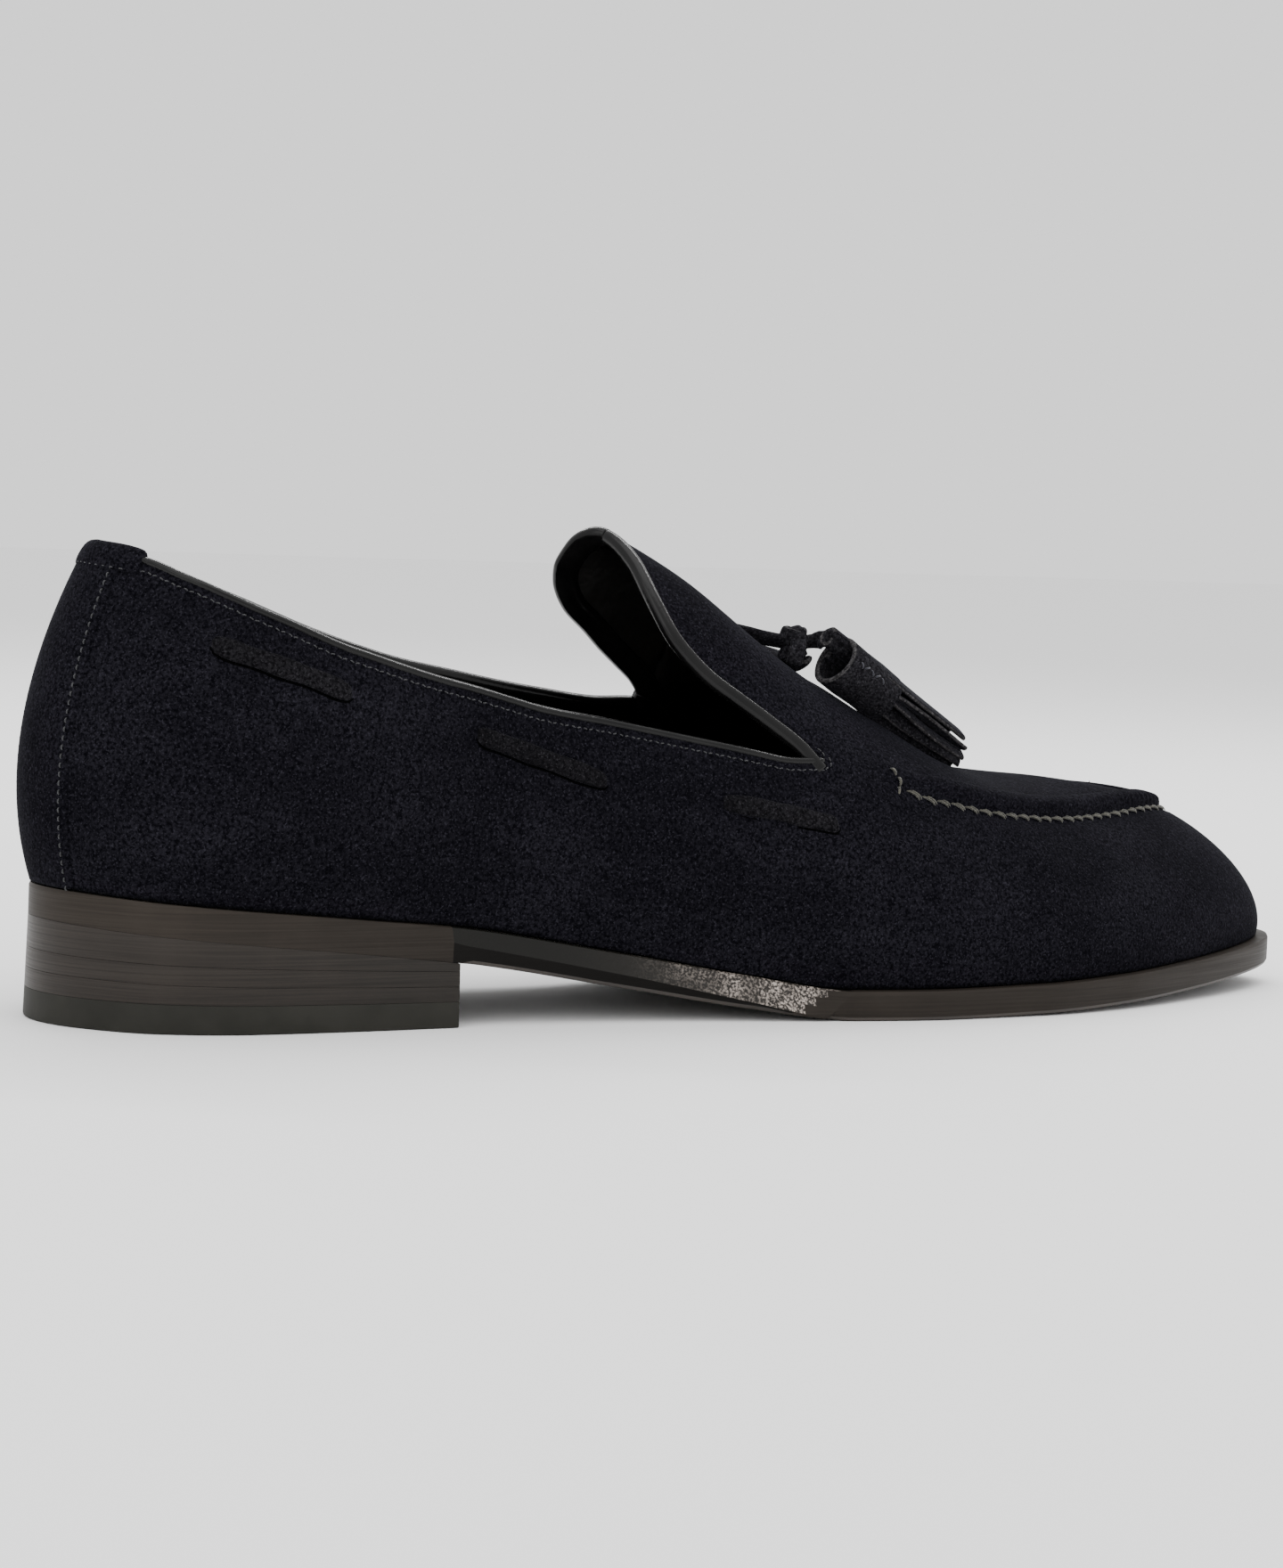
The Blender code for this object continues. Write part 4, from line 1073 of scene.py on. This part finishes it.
def build_sole():
    angles = np.linspace(0.0, pi, SOLE_COLUMNS + 1)
    bevel = lambda x: WAIST_BEVEL * sole_edge(x, "bevel")
    thick = lambda x: SOLE_THICKNESS * sole_edge(x, "thickness")
    drop = lambda x: thick(x) * sole_edge(x, "drop")
    waist = lambda x: np.clip((sole_edge(x, "bevel") - 0.15) / 0.6, 0, 1)

    def facet(share):
        return (lambda x: bevel(x) * share, lambda x: sole_top(x) - drop(x) * (1 - share))

    free = lambda x: np.clip((x - HEEL_LENGTH) / 0.003, 0, 1)
    # From the underside up: how far in from the outline, and how high
    profile = [
        (lambda x: 0.0009 * free(x) + 0.0010 * waist(x), underside),
        (lambda x: 0.0003 * free(x) + 0.0009 * waist(x), lambda x: underside(x) + 0.0002 * free(x)),
        (lambda x: 0.0006 * waist(x), lambda x: underside(x) + 0.0008 * free(x)),
        (lambda x: 0.0001 * waist(x), lambda x: sole_top(x) - drop(x) - 0.0004),
        facet(0.0),
        facet(0.34),
        facet(0.67),
        facet(0.94),
        (lambda x: bevel(x) + 0.0004, sole_top),
        (lambda x: bevel(x) + 0.0030, sole_top),
    ]

    def zone(point, k):
        """Which of the piece's materials a face has: 0 the edge, 1 the bevel, 2 the underside, 3 the edge
        below the bevel."""
        k = min(k, 2 * len(profile) - 2 - k)
        if k < 2 or k == len(profile) - 1:
            return 2
        facet_share = (k - 3) / 4
        if 0.076 < point[0] < WAIST_END[0] + (WAIST_END[1] - WAIST_END[0]) * facet_share:
            return 1 if 4 <= k <= 7 else 3
        return 0

    materials = [EDGE, WAIST, UNDER, WAIST_LOW]
    sharp = radians(28)
    solid("outsole_leather", [plate(angles, profile)], materials, ["outsole"], sharp=sharp, zone=zone)

    wall = lambda x: feather_inset(turn(x / SOLE_LENGTH)) + UPPER_WALL + INSOLE_CLEARANCE
    inset = lambda extra: lambda x: wall(x) + extra
    top = lambda lower: lambda x: sole_top(x) + GAP + INSOLE_THICKNESS - lower
    profile = [
        (inset(0.0003), lambda x: sole_top(x) + GAP),
        (inset(0.0), lambda x: sole_top(x) + GAP + 0.0006),
        (inset(0.0), top(0.0007)),
        (inset(0.0005), top(0.0001)),
        (inset(0.0020), top(0.0)),
        (inset(0.0120), top(0.0003)),
    ]
    body = plate(np.linspace(0.0, pi, INSOLE_COLUMNS + 1), profile)
    solid("insole_leather", [body], [SOCK], ["insole"], sharp=radians(40))


def build_heel():
    tilt = (underside(0.0) - underside(HEEL_LENGTH)) / HEEL_LENGTH
    angles = np.linspace(0.0, float(turn(HEEL_LENGTH / SOLE_LENGTH)), HEEL_COLUMNS + 1)
    tops = [
        lambda x: TOP_LIFT_HEIGHT - 0.10 * tilt * x,
        lambda x: TOP_LIFT_HEIGHT + LIFT_HEIGHT - 0.24 * tilt * x,
        lambda x: TOP_LIFT_HEIGHT + 2 * LIFT_HEIGHT - 0.37 * tilt * x,
        underside,
    ]
    names = ["heel_top_piece", "heel_lift_1", "heel_lift_2", "heel_wedge"]
    below = lambda x: 0.0 * x
    for name, top in zip(names, tops):
        edge = 0.0005 if name == "heel_top_piece" else 0.00006
        inset = lambda height, extra: lambda x: extra - HEEL_FLARE * (1 - height(x) / HEEL_HEIGHT)
        profile = [
            (inset(below, edge), lambda x: below(x)),
            (inset(below, edge * 0.3), lambda x: below(x) + edge * 0.3),
            (inset(below, 0.0), lambda x: below(x) + edge),
            (inset(top, 0.0), lambda x: top(x) - 0.00010),
            (inset(top, 0.00006), lambda x: top(x) - 0.00004),
        ]
        material = RUBBER if name == "heel_top_piece" else STACK
        solid(name + "_fine", [plate(angles, profile)], [material], [name], sharp=radians(30))
        below = top


# The ties


def off_last(side, row):
    """A point that stands off the last."""
    station, height, lift = row
    return skin(side, np.array([turn(station)]), np.array([height]), lift * THONG_DIAMETER)[0]


def tassel_axes(side):
    """The tassel's top, its direction, and two directions across it."""
    top = off_last(side, TIES[side]["cap"])
    along = unit(off_last(side, TIES[side]["aim"]) - top)
    across = unit(np.cross([0.0, 0.0, 1.0], along))
    return top, along, across, np.cross(along, across)


def soft_line(points, count):
    """A smooth line through a few points."""
    points = np.array(points)
    along = distances(points)
    at = np.linspace(0, along[-1], 4 * count)
    line = np.stack([monotone(along, points[:, k], at) for k in range(3)], axis=-1)
    far = distances(line)
    return np.stack([np.interp(np.linspace(0, far[-1], count), far, line[:, k]) for k in range(3)], axis=-1)


# The faces of the cut edges, in rings of a roll's 10 points and of a strap's 16
CUT_EDGES = {10: (0, 1, 2), 16: (7, 8, 15, 0)}


def strap(points, width_way, width, thickness, wobble=0.0):
    """Rings of a flat strap along a line. width_way is a direction across it."""
    along = unit(np.gradient(points, axis=0))
    across = unit(width_way - along * (along @ width_way)[:, None] if np.ndim(width_way) == 1 else width_way)
    up = np.cross(along, across)
    angles = np.linspace(0, 2 * pi, 17)[:-1]
    c, s = np.cos(angles), np.sin(angles)
    flat = np.stack([np.sign(c) * np.abs(c) ** 0.5, np.sign(s) * np.abs(s) ** 0.8], -1)
    half = np.array([width / 2, thickness / 2])
    wave = 1 + wobble * np.sin(np.arange(len(points)) * 0.9)[:, None]
    rings = points[:, None] + across[:, None] * (flat[None, :, :1] * half[0] * wave[:, None])
    return rings + up[:, None] * flat[None, :, 1:] * half[1]


def down_the_side(side):
    """The direction down the vamp's side beside a tassel."""
    station, height, _ = TIES[side]["aim"]
    angle = np.array([turn(station)])
    above, below = np.array([height + STEP]), np.array([height - STEP])
    return unit(last(side, angle, below) - last(side, angle, above))[0]


def rolled(spot, centre, radius, turns, length, wall, start_angle, back):
    """A strip rolled into a tube of some turns: rings across the strip, which go round the roll. A single
    turn keeps its radius until it goes under its own start."""
    rings = []
    for t in np.linspace(0, 2 * pi * turns, int(44 * turns)):
        turned = t / (2 * pi)
        under = np.clip((turned - 0.90) / 0.09, 0, 1) if turns < 1.5 else turned
        out = radius - wall * 1.10 * under
        start = back + 0.0005 * t / (2 * pi) + 0.00018 * sin(1.7 * t)
        end = length + 0.00030 * sin(1.3 * t + 1.0)
        wave = 0.00012 * sin(5.0 * t)
        line = [
            (out, start + 0.0003),
            (out - 0.0003, start),
            (out - wall + 0.0002, start + 0.0001),
            (out - wall, start + 0.0005),
            (out - wall, end - 0.0005),
            (out - wall + 0.0002, end),
            (out - 0.0002, end),
            (out, end - 0.0004),
            (out + wave, start + 0.65 * (end - start)),
            (out - wave, start + 0.30 * (end - start)),
        ]
        rings.append([centre + spot(start_angle - t, o, f) for o, f in line])
    return rings


def build_tassel(side):
    """A cap rolled from a strip of suede, a small roll inside it under the end of the thong, and a fringe."""
    top, along, across, rise = tassel_axes(side)
    slope = down_the_side(side)
    radius = ROLLS["cap"][0]

    def spot(turn_round, out, far):
        swell = 1 - 0.05 * min(max(far / TASSEL_CAP_LENGTH, 0.0), 1.0)
        return along * far + (cos(turn_round) * across + sin(turn_round) * rise) * out * swell

    inner = top + rise * CORE_RISE + across * 0.0006
    bodies = [rolled(spot, top, *ROLLS["cap"]), rolled(spot, inner, *ROLLS["core"])]
    for k in range(len(FRINGE["angle"])):
        angle = FRINGE["angle"][k]
        way = -sin(angle) * across + cos(angle) * rise
        far = np.linspace(0, 1, 30)
        length = FRINGE_LENGTH * FRINGE["length"][k]
        inside = 0.005
        line = top + along * (TASSEL_CAP_LENGTH - inside + (length + inside) * far)[:, None]
        reach = np.clip((far * (length + inside) - inside) / length, 0, 1)
        flat = 1 - FRINGE_FLATTENING * reach
        spoke = cos(angle) * across[None] + sin(angle) * rise[None] * flat[:, None]
        line = line + spoke * (radius * (FRINGE["depth"][k] + FRINGE["splay"][k] * reach**1.5))[:, None]
        line = line + slope * (radius * FRINGE_DROOP * FRINGE["droop"][k] * reach**2)[:, None]
        line = line + way * (0.0004 * np.sin(far * 5.0 + 2.0 * k))[:, None]
        twist = FRINGE["turned"][k] + FRINGE["twist"][k] * far
        face = way * np.cos(twist)[:, None] + unit(spoke) * np.sin(twist)[:, None]
        bodies.append(strap(line, face, FRINGE["width"][k] * MM, FRINGE_STRIP_THICKNESS))
    return bodies


# The cap and the small roll inside it: radius, turns, length, wall, the angle where the roll starts and how
# far its top lies past the tassel's, in metres and radians
ROLLS = {
    "cap": (TASSEL_CAP_DIAMETER / 2, 1.12, TASSEL_CAP_LENGTH, 0.00125, 0.9, -0.0011),
    "core": (0.0027, 1.9, TASSEL_CAP_LENGTH * 0.9, 0.0010, 2.6, -0.0052),
}

# The fringe's strips: the angle round the cap, depth and splay as shares of its radius, length and droop
# as shares of FRINGE_LENGTH and FRINGE_DROOP, width in millimetres, and the turn and twist of its face
FRINGE = table(
    "angle depth splay length droop width turned twist",
    [
        (2.10, 0.80, 0.02, 0.97, 0.00, 5.6, 0.00, 0.06),
        (2.85, 0.60, 0.06, 0.94, 0.25, 4.2, 1.10, 0.10),
        (3.35, 0.56, 0.10, 0.91, 0.50, 4.2, 1.25, -0.10),
        (3.85, 0.58, 0.10, 0.88, 0.75, 4.2, 1.20, -0.15),
        (4.40, 0.66, 0.04, 0.86, 0.90, 4.6, 0.80, 0.10),
        (5.10, 0.70, 0.02, 0.86, 0.70, 4.6, 0.00, 0.10),
        (5.90, 0.70, 0.02, 0.90, 0.30, 4.8, 0.00, -0.12),
        (1.05, 0.74, 0.02, 0.94, 0.00, 5.2, 0.00, 0.06),
        (2.30, 0.20, 0.10, 0.88, 0.40, 3.8, 0.70, 0.30),
        (5.00, 0.20, 0.05, 0.89, 0.60, 3.8, 0.10, -0.25),
    ],
)


def build_knot():
    """A flat thong wound into a knot: a lobe above, a lobe below and its short end beside them."""
    knot = off_last(KNOT["side"], KNOT["at"])
    half = np.array(KNOT_SIZE) / 2
    loops = []
    for centre, tilt, swing, size, wide in KNOT_LOOPS:
        around = np.linspace(0, 2 * pi * 0.95, 40)
        first = np.array([cos(swing), sin(swing), 0.0])
        level = np.array([-sin(swing), cos(swing), 0.0])
        second = level * cos(tilt) + np.array([0.0, 0.0, sin(tilt)])
        axis = np.cross(first, second)
        ring = np.cos(around)[:, None] * first + np.sin(around)[:, None] * second
        line = knot + half * np.array(centre) + ring * half.mean() * size
        line = line + axis * (around / pi - 1.0)[:, None] * 0.0007
        loops.append(strap(line, np.tile(axis, (len(around), 1)), wide * MM, KNOT_THICKNESS, 0.04))
    end = soft_line(knot + np.array(KNOT_END) * MM, 12)
    loops.append(strap(end, np.array([0.87, -0.50, 0.0]), THONG_DIAMETER, THONG_THICKNESS))
    made = solid("knot_suede", loops, [TIE_SUEDE, CUT], ["knot"], edges=CUT_EDGES)
    smooth(made)
    return made


# The knot's loops: the centre as shares of half its size, how its plane tilts and swings, its radius as a
# share of the knot's, and the thong's width in millimetres
KNOT_LOOPS = [
    ((-0.10, 0.10, 0.42), 0.35, 0.4, 0.50, 4.0),
    ((0.10, -0.10, 0.38), 1.25, 1.3, 0.46, 3.8),
    ((0.10, 0.00, -0.52), 1.10, 0.2, 0.54, 4.2),
    ((-0.15, 0.00, -0.44), 0.40, 1.6, 0.52, 3.8),
]


# The thong's short end, which hangs over the knot's near side, in millimetres from its middle
KNOT_END = [(-0.4, -2.2, 1.2), (-1.2, -3.6, 0.2), (-1.9, -3.9, -1.8), (-2.3, -3.7, -4.0)]


def build_ties():
    knot_piece = build_knot()
    knot = off_last(KNOT["side"], KNOT["at"])
    for name, side in SIDES.items():
        top, along, across, rise = tassel_axes(side)
        bodies, how = build_tassel(side), {"sharp": radians(60), "edges": CUT_EDGES}
        tassel = solid(f"tassel_{name}_suede", bodies, [TIE_SUEDE, CUT], [f"tassel_{name}"], **how)
        marks = []
        count, thread_radius, bow = THREADS["tassel"]
        for k in range(count):
            turned = 0.16 + 0.05 * (k % 2)
            out = -across * cos(turned) + rise * sin(turned)
            beside = np.cross(along, out)
            middle = top + along * TASSEL_CAP_LENGTH * (0.15 + 0.11 * k) + out * (TASSEL_CAP_DIAMETER / 2)
            lean = 0.9 if k % 2 == 0 else -0.7
            way = along * cos(lean) + beside * sin(lean)
            marks.append(stitch(middle, way, out, 0.0017, thread_radius, bow))
        cross = solid(f"tassel_{name}_stitches", marks, [INK], slot=f"tassel_{name}")

        guide = [off_last(side, row) for row in THONG_ROOTS[side]]
        guide += [knot + np.array([-0.0006, 0.0, 0.0008]), off_last(side, TIES[side]["bend"])]
        inner = top + rise * CORE_RISE
        guide += [inner - along * 0.0046, inner + along * 0.0060]
        line = soft_line(guide, 44)
        body = strap(line, np.array(THONG_FACES[side]), THONG_WIDTH, THONG_THICKNESS)
        nodes = [f"thong_vamp_{name}", f"thong_tassel_{name}"]
        thong = solid(f"thong_{name}_suede", [body], [TIE_SUEDE], nodes)
        tuple(place(line[0]))
        [tuple(p) for p in place(line)]


# How each thong comes out through the vamp, as rows like those of TIES, and the way that its width faces
THONG_ROOTS = {
    LATERAL: [(0.530, 0.970, -0.30), (0.5415, 0.962, 0.18), (0.5525, 0.935, 0.60)],
    MEDIAL: [(0.528, 0.822, -0.30), (0.540, 0.820, 0.72)],
}
THONG_FACES = {LATERAL: (0.15, -0.80, 0.60), MEDIAL: (1.0, 0.35, 0.2)}


# The room


# The soft lamps: each one's place, width, height and watts, the point that they face, and the sky's strength
LAMPS = [
    (0.05, -0.35, 1.25, 1.30, 0.90, 6.5),
    (-0.95, -0.75, 0.70, 0.80, 0.80, 3.0),
    (0.60, 0.60, 0.95, 1.80, 0.05, 11.0),
]
LAMP_AIM = (0.1, 0.0, 0.04)
SKY = 1.3


def build_room():
    mesh = bpy.data.meshes.new("floor")
    mesh.from_pydata([(-4, -4, 0), (4, -4, 0), (4, 4, 0), (-4, 4, 0)], [], [(0, 1, 2, 3)])
    floor = bpy.data.objects.new("floor", mesh)
    bpy.context.scene.collection.objects.link(floor)
    paint = Surface("floor_paint", Roughness=0.9, Specular_IOR_Level=0.1)
    paint.set(Base_Color=paint.blend(paint.noise(3.0), (0.945, 0.945, 0.945), (0.955, 0.955, 0.955)))
    mesh.materials.append(paint.made)

    world = bpy.data.worlds.new("studio")
    world.use_nodes = True
    world.node_tree.nodes["Background"].inputs["Color"].default_value = (1.0, 1.0, 1.0, 1.0)
    world.node_tree.nodes["Background"].inputs["Strength"].default_value = SKY
    bpy.context.scene.world = world

    for k, (x, y, z, wide, high, watts) in enumerate(LAMPS):
        light = bpy.data.lights.new(f"softbox_{k + 1}", "AREA")
        light.shape = "RECTANGLE"
        light.size = wide
        light.size_y = high
        light.energy = watts
        lamp = bpy.data.objects.new(f"softbox_{k + 1}", light)
        lamp.location = (x, y, z)
        lamp.rotation_euler = (Vector(LAMP_AIM) - lamp.location).to_track_quat("-Z", "Y").to_euler()
        bpy.context.scene.collection.objects.link(lamp)

    turned = radians(CAMERA_SIDE)
    back, aside = sin(turned) * CAMERA_DISTANCE, cos(turned) * CAMERA_DISTANCE
    at = np.array([CAMERA_TARGET - back, -aside, CAMERA_HEIGHT])
    heading, pitch, roll = (radians(a) for a in (CAMERA_SIDE + CAMERA_TURN, CAMERA_PITCH, CAMERA_ROLL))
    ahead = np.array([sin(heading), cos(heading), 0.0])
    view = ahead * cos(pitch) - np.array([0.0, 0.0, sin(pitch)])
    right = np.array([cos(heading), -sin(heading), 0.0])
    up = np.cross(right, view)
    right, up = cos(roll) * right + sin(roll) * up, -sin(roll) * right + cos(roll) * up
    lens = bpy.data.cameras.new("camera")
    lens.sensor_width = SENSOR
    lens.lens = FOCAL_PIXELS * SENSOR / PHOTO_HEIGHT
    camera = bpy.data.objects.new("camera", lens)
    turned_to = Matrix(np.stack([right, up, -view], 1).tolist()).to_4x4()
    camera.matrix_world = Matrix.Translation(Vector(place(at))) @ turned_to
    bpy.context.scene.collection.objects.link(camera)
    bpy.context.scene.camera = camera


build_room()
build_ties()
build_upper()
build_bindings()
build_backstay()
build_side_laces()
build_stitches()
build_sole()
build_heel()
